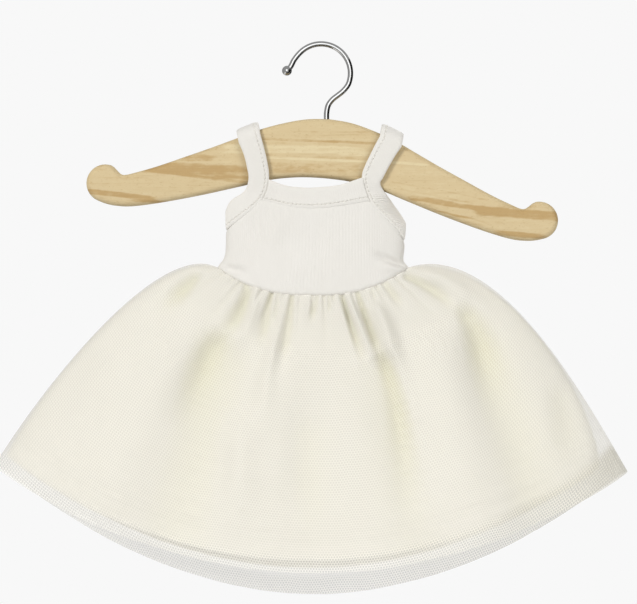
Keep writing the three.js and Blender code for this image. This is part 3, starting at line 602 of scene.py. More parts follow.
def net_finish():
    """Soft net of six-sided holes: its threads hide more than its holes do."""
    cell, thread = NET_CELL["across"] * MM, NET_CELL["thread"]
    made = Finish("tulle_net", roughness=0.7, sheen_weight=0.3, specular_ior_level=0.25)
    place, across, down = made.cloth()
    sway = made.noise(place, 260, detail=1)
    sway = made.math("SUBTRACT", sway, 0.5)
    moved = made.math("MULTIPLY_ADD", sway, NET_CELL["sway"] * MM, across)
    u = made.math("DIVIDE", moved, cell)
    v = made.math("DIVIDE", down, cell)
    height = math.sqrt(3)

    def lattice(shift):
        """Distance from the nearest centre of one of the two interleaved square lattices."""
        x, z = made.math("ADD", u, shift), made.math("ADD", v, shift * height)
        x = made.math("SUBTRACT", made.math("FLOORED_MODULO", x, 1.0), 0.5)
        z = made.math("SUBTRACT", made.math("FLOORED_MODULO", z, height), height / 2)
        x, z = made.math("ABSOLUTE", x), made.math("ABSOLUTE", z)
        slanted = made.math("MULTIPLY_ADD", z, height / 2, made.math("MULTIPLY", x, 0.5))
        return made.math("MAXIMUM", x, slanted)

    edge = made.math("MINIMUM", lattice(0.0), lattice(0.5))
    thick = made.ramp(edge, 0.5 - thread, 0.5 - thread * 0.45)
    haze, yarn = made.mark("haze"), made.mark("yarn")
    cover = made.math("MULTIPLY_ADD", thick, made.math("SUBTRACT", yarn, haze), haze)
    made.feed(made.shader.inputs["Alpha"], cover)
    tone = made.noise(place, 60, detail=2)
    tint = made.mix(tone, COLOURS["net"], COLOURS["net_shade"])
    # painted shade: the net's folds take a darker, warmer colour
    tint = made.mix(made.mark("fold"), tint, COLOURS["net_fold_shade"])
    # painted shade: the net's free margin darker towards its right end
    made.paint(made.mix(made.mark("margin_shade"), tint, COLOURS["net_edge"]))
    return made.material


def thread_finish():
    made = Finish("sewing_thread", roughness=0.6, sheen_weight=0.3, specular_ior_level=0.3)
    place, _, _ = made.object_place()
    twist = made.noise(place, 3800, detail=1)
    made.paint(made.mix(twist, COLOURS["thread"], COLOURS["rib_shade"]))
    made.bump(twist, 0.04 * MM)
    return made.material


def pine_finish():
    """Light sanded pine: fine grain along the board, with its broad streaks."""
    made = Finish("pine_wood", roughness=0.55, specular_ior_level=0.35, coat_weight=0.06)
    place, x, z = made.object_place()
    warp = made.noise(place, 28, detail=3, stretch=(0.5, 1, 2))
    wander = made.math("MULTIPLY", made.math("SUBTRACT", warp, 0.5), 3.2 * MM)
    height = made.math("ADD", z, wander)
    tone = made.noise(place, 60, detail=4, roughness=0.65, stretch=(0.12, 1, 3.2))
    tone = made.math("MULTIPLY", made.math("SUBTRACT", tone, 0.5), 1.5)
    lines = made.noise(place, 170, detail=3, roughness=0.6, stretch=(0.035, 1, 4.5))
    tone = made.math("ADD", tone, made.ramp(lines, 0.3, 0.75, -0.15, 0.2))
    mottle = made.noise(place, 420, detail=3, roughness=0.6, stretch=(0.5, 1, 1.3))
    tone = made.math("ADD", tone, made.ramp(mottle, 0.3, 0.7, -0.22, 0.22))
    for streak in zip(*PINE_STREAKS.values()):
        tone = made.math("ADD", tone, streak_tone(made, x, height, *streak))
    light = made.ramp(tone, 0.0, -0.9)
    dark = made.ramp(tone, 0.05, 1.0)
    colour = made.mix(light, COLOURS["pine"], COLOURS["pine_light"])
    colour = made.mix(dark, colour, COLOURS["pine_dark"])
    fibre = made.noise(place, 420, detail=3, roughness=0.7, stretch=(0.07, 1, 2.4))
    fleck = made.ramp(fibre, 0.56, 0.78, 0, 0.3)
    pores = made.noise(place, 1500, detail=2, roughness=0.6, stretch=(0.4, 1, 1))
    speck = made.ramp(pores, 0.58, 0.74, 0, 0.42)
    colour = made.mix(made.math("MAXIMUM", fleck, speck), colour, COLOURS["pine_fleck"])
    made.paint(colour)
    made.feed(made.shader.inputs["Roughness"], made.ramp(fibre, 0.2, 0.8, 0.48, 0.66))
    made.bump(fibre, 0.05 * MM, 0.6)
    return made.material


def streak_tone(made, x, height, x0, z0, x1, z1, wide, dark):
    """One streak's share in the tone of the wood."""
    slope = (z1 - z0) / (x1 - x0)
    line = made.math("MULTIPLY_ADD", x, slope, (z0 - slope * x0) * MM)
    away = made.math("ABSOLUTE", made.math("SUBTRACT", height, line))
    body = made.ramp(away, wide * MM * 1.2, wide * MM * 0.55, 0, dark)
    start = made.ramp(x, x0 * MM, (x0 + STREAK_END) * MM)
    end = made.ramp(x, x1 * MM, (x1 - STREAK_END) * MM)
    return made.math("MULTIPLY", body, made.math("MULTIPLY", start, end))


def chrome_finish():
    made = Finish("chrome_wire", metallic=1.0, base_color=(*COLOURS["chrome"], 1))
    place, _, _ = made.object_place()
    smear = made.noise(place, 240, detail=3)
    made.feed(made.shader.inputs["Roughness"], made.ramp(smear, 0.3, 0.8, 0.12, 0.18))
    tint = made.mix(smear, COLOURS["chrome"], tuple(0.93 * c for c in COLOURS["chrome"]))
    made.paint(tint)
    return made.material


def floor_finish():
    """Pale matt floor that thins out to nothing at its edge."""
    made = Finish("studio_floor", roughness=0.9, specular_ior_level=0.1)
    place, _, _ = made.object_place()
    speckle = made.noise(place, 30, detail=2)
    pale = COLOURS["floor"]
    made.paint(made.mix(speckle, pale, tuple(0.97 * c for c in pale)))
    away = made.add("ShaderNodeVectorMath", {0: place}, output=1, operation="LENGTH")
    radius = FLOOR["radius"] * MM
    made.feed(made.shader.inputs["Alpha"], made.ramp(away, radius, radius * 0.35))
    return made.material


RIB_KNIT = knit_finish("rib_knit", "rib", "rib_shade", 0.5 * MM, 1.1, 0.03 * MM)
JERSEY = knit_finish(
    "jersey_lining", "jersey", "jersey_shade", 0.55 * MM, 1.2, 0.02 * MM, "jersey_fold_shade")
TULLE = net_finish()
THREAD = thread_finish()
PINE = pine_finish()
CHROME = chrome_finish()


def keep(piece, slot, *nodes):
    """Gives a piece its body and hides the solids that it stands for; `slot` is not used."""
    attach(piece, BODY)
    if nodes:
        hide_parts(*nodes)
    return piece


# ---- hanger ----

def board_outline():
    """The board's outline before its tilt, anticlockwise from the middle of its top."""
    degrees = np.linspace(KNOB["from"], KNOB["to"], BOARD_POINTS["knob"])
    knob = round_places(KNOB["out"], KNOB["up"], KNOB["radius"], degrees)
    edges = []
    for edge, name in ((BOARD_TOP, "top"), (BOARD_UNDERSIDE, "underside")):
        smooth = read_sections(edge, np.linspace(0, 1, BOARD_POINTS[name]))
        edges.append(np.stack([smooth["out"], smooth["up"]], axis=1))
    corners = np.concatenate([edges[0], knob, edges[1]])
    right = smooth_line(corners[::BOARD_POINTS["thinned"]], BOARD_POINTS["thinned"])
    left = right[1:-1][::-1] * (-1, 1)
    return np.concatenate([right, left])[::-1]


def make_board():
    """The board: its outline as rings from front to back, rounded over at both faces."""
    outline = board_outline()
    along = unit(np.roll(outline, -1, axis=0) - np.roll(outline, 1, axis=0))
    inward = np.stack([-along[:, 1], along[:, 0]], axis=1)
    half, rounding = BOARD["thickness"] / 2, BOARD["rounding"]
    turns = np.radians(np.linspace(90, 0, BOARD_POINTS["rounding"]))
    profile = [(rounding * (1 - math.cos(a)), -(half - rounding + rounding * math.sin(a)))
               for a in turns]
    profile += [(inset, -depth) for inset, depth in reversed(profile)]
    cos, sin = math.cos(BOARD["tilt"]), math.sin(BOARD["tilt"])
    rings = []
    for inset, depth in profile:
        out, up = (outline + inward * inset).T
        x, z = BOARD["x"] + out * cos - up * sin, BOARD["z"] + out * sin + up * cos
        rings.append(np.stack([x, np.full_like(x, depth), z], axis=1))
    quads = ring_quads(len(rings), len(outline))
    board = make_object("board", np.concatenate(rings), quads, PINE)
    close_ends(board, len(outline))
    return keep(board, "pine_wood", "hanger_board")


def ball_points(rings, sides, reach):
    """Points of a ball of radius 1, ring by ring along its first axis."""
    turn = np.linspace(-reach, reach, rings)
    around = np.linspace(0, 2 * math.pi, sides, endpoint=False)
    return np.stack([np.repeat(np.sin(turn), sides),
                     np.outer(np.cos(turn), np.cos(around)).ravel(),
                     np.outer(np.cos(turn), np.sin(around)).ravel()], axis=1)


def close_ends(piece, sides):
    """Closes a piece that is made of rings over its first ring and its last."""
    shape = bmesh.new()
    shape.from_mesh(piece.data)
    shape.verts.ensure_lookup_table()
    for start in (0, len(shape.verts) - sides):
        shape.faces.new(shape.verts[start:start + sides]).smooth = True
    bmesh.ops.recalc_face_normals(shape, faces=shape.faces)
    shape.to_mesh(piece.data)
    shape.free()


def round_rod(name, line, radius, material):
    """A round rod along a line in the plane of the hook, drawn in to a point at its ends."""
    along = unit(np.gradient(line, axis=0))
    side = np.cross(along, (0, 1, 0))
    sides = HOOK_POINTS["around_wire"]
    angle = np.linspace(0, 2 * math.pi, sides, endpoint=False)
    caps = np.concatenate([[0.02], np.ones(len(line) - 2), [0.02]]) * radius
    rings = [p + r * (np.cos(angle)[:, None] * s + np.sin(angle)[:, None] * np.array((0, 1, 0)))
             for p, s, r in zip(line, side, caps)]
    return make_object(name, np.concatenate(rings), ring_quads(len(line), sides), material)


def make_hook():
    """The hook's wire, from the middle of its ball round to its stem in the board."""
    degrees = np.linspace(HOOK["from"], HOOK["to"], HOOK_POINTS["arc"])
    arc = round_places(HOOK["x"], HOOK["z"], HOOK["radius"], degrees)
    ends = [np.stack([part["x"], part["z"]], axis=1) for part in (HOOK_MOUTH, HOOK_NECK)]
    ball = [(TIP_BALL["x"], TIP_BALL["z"])]
    flat = smooth_line(np.concatenate([ball, ends[0], arc, ends[1]]), HOOK_POINTS["smooth"])
    line = np.stack([flat[:, 0], np.zeros(len(flat)), flat[:, 1]], axis=1)
    keep(round_rod("hook_wire", line, WIRE_RADIUS, CHROME), "chrome_wire", "hanger_hook")


def make_ball():
    """The ball on the hook's free end."""
    rings, sides = HOOK_POINTS["ball_rings"], HOOK_POINTS["around_ball"]
    points = ball_points(rings, sides, BALL_REACH["hook"])[:, [1, 2, 0]] * TIP_BALL["radius"]
    places = points + (TIP_BALL["x"], 0, TIP_BALL["z"])
    ball = make_object("hook_ball", places, ring_quads(rings, sides)[:, ::-1], CHROME)
    keep(ball, "chrome_wire")


# ---- bodice and bindings ----

def on_board(z):
    """How far a height is within the straps' zone, where they hug the board."""
    return 1 - smoothstep(-z, -BOARD_ZONE["above"], -BOARD_ZONE["below"])


def face_share(facing):
    """Depth of the front or of the back, as a share of the front's."""
    return 1 if facing < 0 else BACK_SHARE


def full_depth(z):
    """How far the middle of the front stands out at a height."""
    down = smoothstep(-z, -BODY_DEPTH["from"], -BODY_DEPTH["to"])
    return lerp(BODY_DEPTH["strap"], BODY_DEPTH["waist"], down)


def body_depth(x, z):
    """How far the front of the body stands out from the middle plane."""
    across = clamp01(np.abs(x - BODY_MIDDLE) / BODY_HALF_WIDTH)
    rounded = full_depth(z) * (1 - across ** 2) ** BODY_SQUARENESS
    return lerp(rounded, BODY_DEPTH["strap"], on_board(z))


def waist_at(s):
    """A place on the waist seam, s running -1..1 from the left fold to the right one."""
    z = WAIST["side"] - WAIST["sag"] * (1 - np.abs(s) ** WAIST["curve"])
    return WAIST["middle"] + WAIST["half"] * s, z


def seam_points(binding):
    smooth = read_sections(binding, np.linspace(0, 1, STRAP["seam"]))
    return np.stack([smooth["seam_x"], smooth["seam_z"]], axis=1)


def upper_seam():
    """The bodice panel's upper seam: left armhole, neck, right armhole."""
    neck = np.stack([NECK_SEAM["x"], NECK_SEAM["z"]], axis=1)
    left, right = (rows[rows[:, 1] <= NECK_SEAM["z"][0] - 0.5]
                   for rows in map(seam_points, (LEFT_BINDING, RIGHT_BINDING)))
    return np.concatenate([left[::-1], neck, right])


def bodice_grid(facing, columns, rows):
    """A bodice panel's surface, from its upper seam down to the waist."""
    seam = upper_seam()
    v, t = np.meshgrid(columns, rows)
    s = np.sin(v * math.pi / 2)
    start_x = lerp(seam[0, 0], seam[-1, 0], (s + 1) / 2)
    gap = lerp(UPPER_SEAM_GAP["middle"], UPPER_SEAM_GAP["side"], s ** 2)
    start_z = np.interp(start_x, seam[:, 0], seam[:, 1]) - gap
    end_x, end_z = waist_at(s)
    fall = start_z - end_z
    flare = -SIDE_FLARE["across"] * sign_power(s, 3)
    a, b, c, d = cubic_shares(t)
    x = (a + b) * start_x + c * (end_x + flare) + d * end_x
    z = a * start_z + b * (start_z - fall * SIDE_FLARE["straight"])
    z += c * (end_z + fall * SIDE_FLARE["up"]) + d * end_z
    full = full_depth(z) * face_share(facing)
    rounded = np.maximum(np.cos(v * math.pi / 2), 0) ** (2 * BODY_SQUARENESS)
    return np.stack([x, facing * (SEAM_GAP / 2 + full * rounded), z], axis=-1)


def ditch(distance):
    """How far cloth is drawn in at a distance from its seam."""
    return -SEAM_DITCH["depth"] * np.exp(-(distance / SEAM_DITCH["width"]) ** 2)


def ribbed_columns(ribs):
    """Places across a panel, and the height of its ribs there, from -1 to 1."""
    count = ribs * RIBS["points"] + 1
    return np.linspace(-1, 1, count), np.cos(2 * math.pi * np.arange(count) / RIBS["points"])


def make_bodice(name, facing, creases):
    columns, ribs = ribbed_columns(RIBS["bodice"])
    rows = np.linspace(-TUCK["top"], 1 + TUCK["waist"], BODICE_ROWS)
    base = bodice_grid(facing, columns, rows)
    outward = surface_normals(base, facing)
    down = lengths_along(base, 0)
    x, z = base[..., 0], base[..., 2]
    calm = 1 - np.abs(columns) ** SIDE_CALM["bodice"]
    height = (crease_height(creases, x, z)[0] + waver("bodice", x, z)) * calm
    height += ditch(down) + ditch(down[-1] - down)
    height -= TUCK["in"] * smoothstep(rows, 1.0, 1 + TUCK["waist"])[:, None]
    soft = base + outward * (height + PROUD["bodice"])[..., None]
    ribbed = RIB["height"] * ribs * calm * (RIB["even"] + waver("ribs", x, z))
    outer = soft + outward * ribbed[..., None]
    piece = make_shell(f"{name}_cloth", outer, soft - outward * CLOTH["bodice"], RIB_KNIT)
    return keep(piece, "rib_knit", name)


def strip_places(row):
    """Places across a folded strip, closer at its edges and at its row of stitches."""
    even = (1 - np.cos(np.linspace(0, math.pi, STRIP["places"]))) / 2
    near = GROOVE["width"] / STRIP["width"] * np.linspace(-2, 2, STRIP["near_row"])
    return np.unique(np.concatenate([even[np.abs(even - row) > near[-1] + 0.01], row + near]))


def stitch_groove(across, row):
    """How far a strip is drawn in at its row of stitches."""
    away = (across - row) * STRIP["width"] / GROOVE["width"]
    return -GROOVE["depth"] * np.exp(-away ** 2)


def stitch_holes(line):
    """How open a row of stitches is along its line: 1 where the thread goes in."""
    at = lengths_along(line[None], 1)[0] + STITCH["pitch"] / 2
    away = np.abs(at % STITCH["pitch"] - STITCH["pitch"] / 2)
    return lerp(GROOVE["between"], 1, np.exp(-(away / GROOVE["hole"]) ** 2))


def strip_profile(across):
    """Half thickness of a folded strip, rounded over at both its long edges."""
    return CLOTH["binding"] / 2 * np.sqrt(1 - 0.97 * np.abs(2 * across - 1) ** STRIP["edge"])


def make_strip(name, base, outward, across, axis, sewn, ribbed, proud=0, cloth=None):
    """A folded strip on its form, with its ribs and its row of stitches.

    The grid's `axis` runs over the places `across` the strip, and `sewn` is the stitches' place.
    """
    wide = np.expand_dims(across, 1 - axis)
    middle = base - outward * (CLOTH["binding"] / 2 - proud)
    half = outward * strip_profile(wide)[..., None]
    smooth = middle + half
    row = np.abs(across - sewn).argmin()
    line, up = np.take(smooth, row, axis), np.take(outward, row, axis)
    height = np.expand_dims(ribbed, axis) * np.sin(math.pi * wide)
    height = height + stitch_groove(wide, sewn) * np.expand_dims(stitch_holes(line), axis)
    outer = smooth + outward * height[..., None]
    piece = make_shell(f"{name}_cloth", outer, middle - half, RIB_KNIT, cloth)
    keep(piece, "rib_knit", name)
    return piece, stitch_row(f"{name}_stitches", line, up, STITCH["pitch"])


def neck_grid(facing, columns, rows):
    """A neck binding's surface, from the free edge down to its seam."""
    edges = []
    for binding, side in ((LEFT_BINDING, 1), (RIGHT_BINDING, -1)):
        seam = seam_points(binding)
        order = np.argsort(seam[:, 1])
        end_z = lerp(NECK_EDGE["z"][0], NECK_SEAM["z"][0], rows)
        edges.append(np.interp(end_z, seam[order, 1], seam[order, 0]) - side * TUCK["neck"])
    share = (columns + 1) / 2
    x = edges[0][:, None] * (1 - share) + edges[1][:, None] * share
    edge = np.interp(x, NECK_EDGE["x"], NECK_EDGE["z"]) - (0 if facing < 0 else BACK_NECK_DROP)
    z = lerp(edge, np.interp(x, NECK_SEAM["x"], NECK_SEAM["z"]), rows[:, None])
    depth = body_depth(x, z) * face_share(facing)
    return np.stack([x, facing * (SEAM_GAP / 2 + depth), z], axis=-1)


def make_neck_binding(name, facing):
    columns, ribs = ribbed_columns(RIBS["neck"])
    rows = strip_places(STRIP["neck_row"])
    base = neck_grid(facing, columns, rows)
    outward = unit(square_to(base)) * facing
    ribbed = RIB["neck"] * ribs
    return make_strip(name, base, outward, rows, 0, STRIP["neck_row"], ribbed, PROUD["neck"])


def binding_half(binding, facing, along, across):
    """Half of an armhole binding's surface, from the strap's bend down to the side fold."""
    outer_side = np.sign(binding["free_x"][0] - BODY_MIDDLE)
    spread = RIGHT_SPREAD["front" if facing < 0 else "back"] if outer_side > 0 else 0
    row = {name: column[:, None] for name, column in read_sections(binding, along).items()}
    on_body = clamp01((along - RIGHT_SPREAD["from"]) / (1 - RIGHT_SPREAD["from"]))
    wander = np.sin(math.pi * on_body)[:, None]
    x = lerp(row["seam_x"], row["free_x"], across)
    z = lerp(row["seam_z"], row["free_z"], across)
    roll = row["roll"] * across ** ROLL_CURVE if facing < 0 else 0
    depth = body_depth(x, z) * lerp(face_share(facing), 1, on_board(z))
    x = x + spread * wander * across
    return np.stack([x, facing * (SEAM_GAP / 2 + depth) + roll, z], axis=-1)


def strap_bend(binding, across, steps):
    """The strap's bend over the board, between its front half and its back half."""
    outer_side = np.sign(binding["free_x"][0] - BODY_MIDDLE)
    radius = BODY_DEPTH["strap"] + SEAM_GAP / 2
    angle = (np.linspace(0, 1, steps + 1)[1:-1] * math.pi)[:, None]
    x = lerp(binding["seam_x"][0], binding["free_x"][0], across)
    z = lerp(binding["seam_z"][0], binding["free_z"][0], across)
    x = x + outer_side * STRAP_BEND["outward"] * np.sin(angle)
    z = z + (radius - STRAP_BEND["lift"]) * np.sin(angle)
    return np.stack([x, np.broadcast_to(-radius * np.cos(angle), x.shape), z], axis=-1)


def strap_normals(base, outer_side):
    """Outward directions of a strap, mended at its two ends, where it meets itself."""
    outward = unit(square_to(base)) * outer_side
    turned, end = STRAP["turned"], STRAP["end"]
    for rows in (outward[:turned], outward[-turned:]):
        rows[rows[..., 0] * outer_side < -0.1] *= -1
    outward[:end], outward[-end:] = outward[end], outward[-end - 1]
    return outward


def make_armhole_binding(name, binding):
    along = np.linspace(0, 1, STRAP["sections"])
    across = strip_places(STRIP["strap_row"])
    front = binding_half(binding, -1, along, across)[::-1]
    back = binding_half(binding, 1, along, across)
    base = np.concatenate([front, strap_bend(binding, across, STRAP["bend"]), back])
    outward = strap_normals(base, np.sign(binding["free_x"][0] - BODY_MIDDLE))
    length = lengths_along(base, 0)
    roll = read_sections(binding, along)["roll"][::-1] / STRAP["full_roll"]
    rolled = clamp01(np.concatenate([roll, np.zeros(len(base) - len(roll))]))
    ribs = np.cos(2 * math.pi * length[:, len(across) // 2] / RIB["pitch"])
    ribbed = lerp(RIB["binding"], RIB["rolled"], rolled) * ribs
    cloth = np.stack([lengths_along(base, 1), length], axis=-1)
    return make_strip(name, base, outward, across, 1, STRIP["strap_row"], ribbed, cloth=cloth)


# ---- stitches ----

def stitch_row(name, line, outward, pitch):
    """Short raised stitches at even spaces along a line on the cloth."""
    at = lengths_along(line[None], 1)[0]
    places = np.arange(pitch / 2, at[-1], pitch)

    def read(values, ahead=0.0):
        return np.stack([np.interp(places + ahead, at, column) for column in values.T], axis=1)

    up = unit(read(outward))
    along = unit(read(line, 0.2) - read(line, -0.2))
    axes = np.stack([along, np.cross(along, up), up], axis=1)
    rings, sides = STITCH["rings"], STITCH["sides"]
    half_sizes = ((pitch - STITCH["gap"]) / 2, STITCH["radius"], STITCH["radius"])
    shape = ball_points(rings, sides, BALL_REACH["stitch"]) * half_sizes
    points = np.einsum("pk,nkx->npx", shape, axes) + read(line)[:, None]
    firsts = np.arange(len(places))[:, None, None] * len(shape)
    quads = (ring_quads(rings, sides)[None] + firsts).reshape(-1, 4)
    return keep(make_object(name, points.reshape(-1, 3), quads, THREAD), "rib_knit")


# ---- skirt ----

def skirt_grid(layer, facing, columns, rows):
    """A layer's surface: each thread leaves the waist turned out and droops to the hem."""
    face = 0 if facing < 0 else 1
    v, t = np.meshgrid(columns, rows)
    s = np.sin(v * math.pi / 2)
    start_x, start_z = waist_at(s)
    start_x = start_x - layer["inset"] * sign_power(s, 7)
    start_z = start_z - SEAM_GAP / 3 - layer["side_drop"] * np.abs(s) ** 3
    (left_x, left_z), (right_x, right_z) = layer["left"], layer["right"]
    tip_z = lerp(left_z, right_z, (s + 1) / 2)
    end_z = tip_z - layer["sag"][face] * (1 - np.abs(s) ** layer["curve"])
    end_x = (left_x + right_x) / 2 + (right_x - left_x) / 2 * s
    start, end = start_x + 1j * start_z, end_x + 1j * end_z
    chord = end - start

    def at_place(pair):
        return lerp(*pair, (s + 1) / 2)

    turn = sign_power(v, FAN_POWER)
    spring = np.radians(at_place(layer["spring"]) * turn)
    droop = np.radians(-at_place(layer["droop"]) * turn)
    leaving = start + chord * at_place(layer["leaving"]) * np.exp(1j * spring)
    arriving = end - chord * at_place(layer["arriving"]) * np.exp(1j * droop)
    a, b, c, d = cubic_shares(t)
    seen = a * start + b * leaving + c * arriving + d * end
    waist_depth = BODY_DEPTH["waist"] * face_share(facing) - layer["inset"]
    depth = lerp(waist_depth, layer["depth"][face], 1 - (1 - t) ** layer["puff"])
    squareness = lerp(WAIST_SQUARENESS, HEM_SQUARENESS, t)
    rounded = np.maximum(np.cos(v * math.pi / 2), 0) ** squareness
    return np.stack([seen.real, facing * (SEAM_GAP / 2 + depth * rounded), seen.imag], axis=-1)


def gather_height(columns, rows, seed):
    """Small gathers below the waist seam, each of its own depth and length."""
    v, t = np.meshgrid(columns, rows)
    s = np.sin(v * math.pi / 2)
    chance = np.random.default_rng(seed)
    total = np.zeros_like(s)
    count, reach, puff = GATHER["count"], GATHER["reach"], GATHER["puff"]
    for k in range(count):
        centre = 2 * reach * (k + chance.uniform(*GATHER["shift"])) / (count - 1) - reach
        drawn = [chance.uniform(*GATHER[size]) for size in ("depth", "length", "lean", "wide")]
        depth, length, lean, wide = drawn
        away = (s - centre - lean * t) / (wide + GATHER["spread"] * t)
        total -= depth * np.exp(-away ** 2) * clamp01(1 - t / length) ** GATHER["fade"]
    return total + puff["height"] * clamp01(1 - t / puff["length"]) ** puff["fade"]


def layer_places(mesh):
    """Places across a skirt layer and down it."""
    down = np.linspace(0, 1, mesh["rows"]) ** mesh["crowding"]
    return np.linspace(-1, 1, mesh["columns"]), down


def drape(layer, facing, columns, rows, creases):
    """A skirt layer with its creases, gathers and unevenness, and how deep each fold is, for the
    painted shade in its folds.
    """
    base = skirt_grid(layer, facing, columns, rows)
    outward = surface_normals(base, facing)
    x, z = base[..., 0], base[..., 2]
    v, t = np.meshgrid(columns, rows)
    calm = 1 - np.abs(v) ** SIDE_CALM["skirt"]
    seam = lerp(SEAM_EASE["height"], 1, clamp01(t / SEAM_EASE["over"]))
    height, depth = crease_height(creases, x, z)
    seed = SKIRT_SEED[facing]
    gathers = gather_height(columns, rows, seed)
    # painted shade: each place's share of the fold colour, from the depth of its narrow creases and
    # gathers
    fold = clamp01((depth - gathers) * calm / FOLD_SHADE["deep"])
    height = height * seam + gathers + ditch(lengths_along(base, 0)) * SEAM_DITCH["skirt"]
    for kind, start in WAVER_STARTS.items():
        height += waver(kind, x, z, seed) * clamp01(t * start)
    return base + outward * (height * calm)[..., None], fold


def make_lining(name, facing, creases):
    columns, rows = layer_places(LINING_MESH)
    soft, fold = drape(LINING, facing, columns, rows, creases)
    outward = surface_normals(soft, facing)
    down = lengths_along(soft, 0)
    to_hem = down[-1] - down
    relief = HEM["step"] * (1 - smoothstep(to_hem, HEM["turned"] - HEM["ease"], HEM["turned"]))
    for row, line in ((0, HEM["roll"]), *((row, HEM["sewn"]) for row in HEM["rows"])):
        relief -= line["depth"] * np.exp(-((to_hem - row) / line["width"]) ** 2)
    outer = soft + outward * relief[..., None]
    inner = soft - outward * CLOTH["lining"]
    piece = make_shell(f"{name}_cloth", outer, inner, JERSEY, fold=fold)
    keep(piece, "jersey_lining", name)
    stitches = [hem_stitches(f"{name}_hem_{i}", outer, outward, to_hem, row)
                for i, row in enumerate(HEM["rows"])]
    return piece, stitches


def hem_stitches(name, grid, outward, to_hem, row):
    """A row of stitches at a fixed height above the hem's edge."""
    spots, ups = [], []
    for c in range(2, grid.shape[1] - 2):
        height = to_hem[::-1, c]
        spots.append([np.interp(row, height, grid[::-1, c, k]) for k in range(3)])
        ups.append([np.interp(row, height, outward[::-1, c, k]) for k in range(3)])
    return stitch_row(name, np.array(spots), np.array(ups), HEM["pitch"])


def net_cover(v, t):
    """How much the net's holes and its threads hide, and the share of painted shade on its free
    margin.
    """
    side = (np.sin(v * math.pi / 2) + 1) / 2
    hem = 1 - lerp(NET_MARGIN["left"], NET_MARGIN["right"], side ** 4)
    margin = smoothstep(t, hem - NET_MARGIN["above"], hem + NET_MARGIN["below"])
    gathered = NET_HOLES["gathered"] * (1 - smoothstep(t, *NET_FADES["gathered"]))
    turned = NET_HOLES["turned"] * smoothstep(np.abs(v), *NET_FADES["turned"]) * (1 - margin)
    holes = lerp(NET_HOLES["margin"], NET_HOLES["corner"], side ** 8)
    holes = np.maximum(lerp(NET_HOLES["open"], holes, margin), np.maximum(gathered, turned))
    threads = lerp(NET_THREADS["margin"], NET_THREADS["corner"], side ** 4)
    threads = lerp(NET_THREADS["open"], threads, margin)
    # painted shade on the free margin, strongest at its right end
    return holes, np.maximum(threads, holes + NET_THREADS["over_holes"]), margin * side ** 4


def make_net(name, facing, creases):
    columns, rows = layer_places(NET_MESH)
    soft, fold = drape(NET, facing, columns, rows, creases)
    outward = surface_normals(soft, facing)
    v, t = np.meshgrid(columns, rows)
    edge = smoothstep(t, *NET_FADES["flutter"]) * (1 - np.abs(v) ** SIDE_CALM["skirt"])
    flutter = waver("net_edge", soft[..., 0], soft[..., 2], SKIRT_SEED[facing]) * edge
    soft = soft + outward * (flutter + PROUD["net"])[..., None]
    holes, threads, margin_shade = net_cover(v, t)
    marks = {"fold": fold, "haze": holes, "yarn": threads, "margin_shade": margin_shade}
    quads, cloth = grid_quads(*soft.shape[:2]), cloth_places(soft).reshape(-1, 2)
    piece = make_object(f"{name}_cloth", soft.reshape(-1, 3), quads, TULLE, cloth, marks)
    return keep(piece, "tulle_net", name)


# ---- studio ----

def make_floor():
    sides, radii = FLOOR["sides"], np.linspace(1, FLOOR["radius"], FLOOR["rings"])
    angle = np.linspace(0, 2 * math.pi, sides, endpoint=False)
    rings = [np.stack([r * np.cos(angle), r * np.sin(angle), np.zeros(sides)], axis=1)
             for r in radii]
    quads = ring_quads(len(rings), sides)
    floor = make_object("floor", np.concatenate(rings), quads, floor_finish())
    floor.location.z = FLOOR["z"] * MM


def area_light(name, place, size, power, unseen_by):
    """A square lamp aimed at the dress, which shiny or matt surfaces don't see."""
    data = bpy.data.lights.new(name, "AREA")
    data.size, data.energy = size, power
    lamp = bpy.data.objects.new(name, data)
    lamp.location = Vector(place) * MM
    lamp.visible_glossy = unseen_by != "glossy"
    lamp.visible_diffuse = unseen_by != "diffuse"
    lamp.rotation_mode = "QUATERNION"
    lamp.rotation_quaternion = (Vector(AIM) - Vector(place)).to_track_quat("-Z", "Y")
    bpy.context.scene.collection.objects.link(lamp)


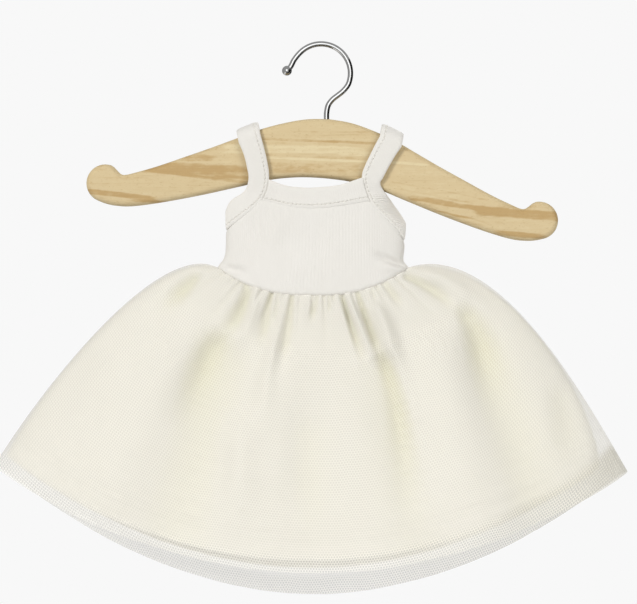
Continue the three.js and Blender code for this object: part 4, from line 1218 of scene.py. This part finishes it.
def dark_card(name, corner, width, height, grey):
    """A card that only polished metal mirrors, from a corner along two sides."""
    made = Finish(f"{name}_board", roughness=1.0, specular_ior_level=0.0)
    place, _, _ = made.object_place()
    tone = made.noise(place, 6, detail=1)
    made.feed(made.shader.inputs["Base Color"], made.mix(tone, (grey,) * 3, (grey * 0.8,) * 3))
    corner, width, height = (np.array(part, float) for part in (corner, width, height))
    places = np.array([corner, corner + width, corner + width + height, corner + height])
    card = make_object(name, places, np.array([[0, 1, 2, 3]]), made.material)
    card.visible_camera = card.visible_diffuse = card.visible_shadow = False
    card.visible_transmission = False


def make_studio():
    """Pale backdrop, which lights the dress less than it shows, with lamps, cards and floor."""
    scene = bpy.context.scene
    scene.view_settings.view_transform = "Standard"
    world = bpy.data.worlds.new("studio")
    world.use_nodes = True
    backdrop = world.node_tree.nodes["Background"]
    backdrop.inputs["Color"].default_value = (*COLOURS["backdrop"], 1)
    seen = world.node_tree.nodes.new("ShaderNodeLightPath").outputs["Is Camera Ray"]
    share = world.node_tree.nodes.new("ShaderNodeMath")
    share.operation = "MULTIPLY_ADD"
    share.inputs[1].default_value = 1 - DOME
    share.inputs[2].default_value = DOME
    world.node_tree.links.new(seen, share.inputs[0])
    world.node_tree.links.new(share.outputs[0], backdrop.inputs["Strength"])
    scene.world = world
    for light in LIGHTS:
        area_light(*light)
    for card in CARDS:
        dark_card(*card)
    make_floor()


def make_camera():
    data = bpy.data.cameras.new("camera")
    data.lens, data.sensor_width = CAMERA["lens"], CAMERA["sensor"]
    camera = bpy.data.objects.new("camera", data)
    camera.location = (CAMERA["x"] * MM, -CAMERA["distance"] * MM, CAMERA["z"] * MM)
    camera.rotation_euler = (math.radians(90), 0, 0)
    bpy.context.scene.collection.objects.link(camera)
    bpy.context.scene.camera = camera


make_camera()
make_studio()
make_board()
make_hook()
make_ball()

for side_name, facing, creases in (("front", -1, FRONT_CREASES), ("back", 1, BACK_CREASES)):
    bodice = make_bodice(f"bodice_{side_name}", facing, BODICE_CREASES)
    neck, sewing = make_neck_binding(f"neck_binding_{side_name}", facing)
    lining, sewing = make_lining(f"skirt_lining_{side_name}", facing, creases)
    net = make_net(f"skirt_net_{side_name}", facing, creases)

for side_name, binding in (("left", LEFT_BINDING), ("right", RIGHT_BINDING)):
    strap, sewing = make_armhole_binding(f"armhole_binding_{side_name}", binding)
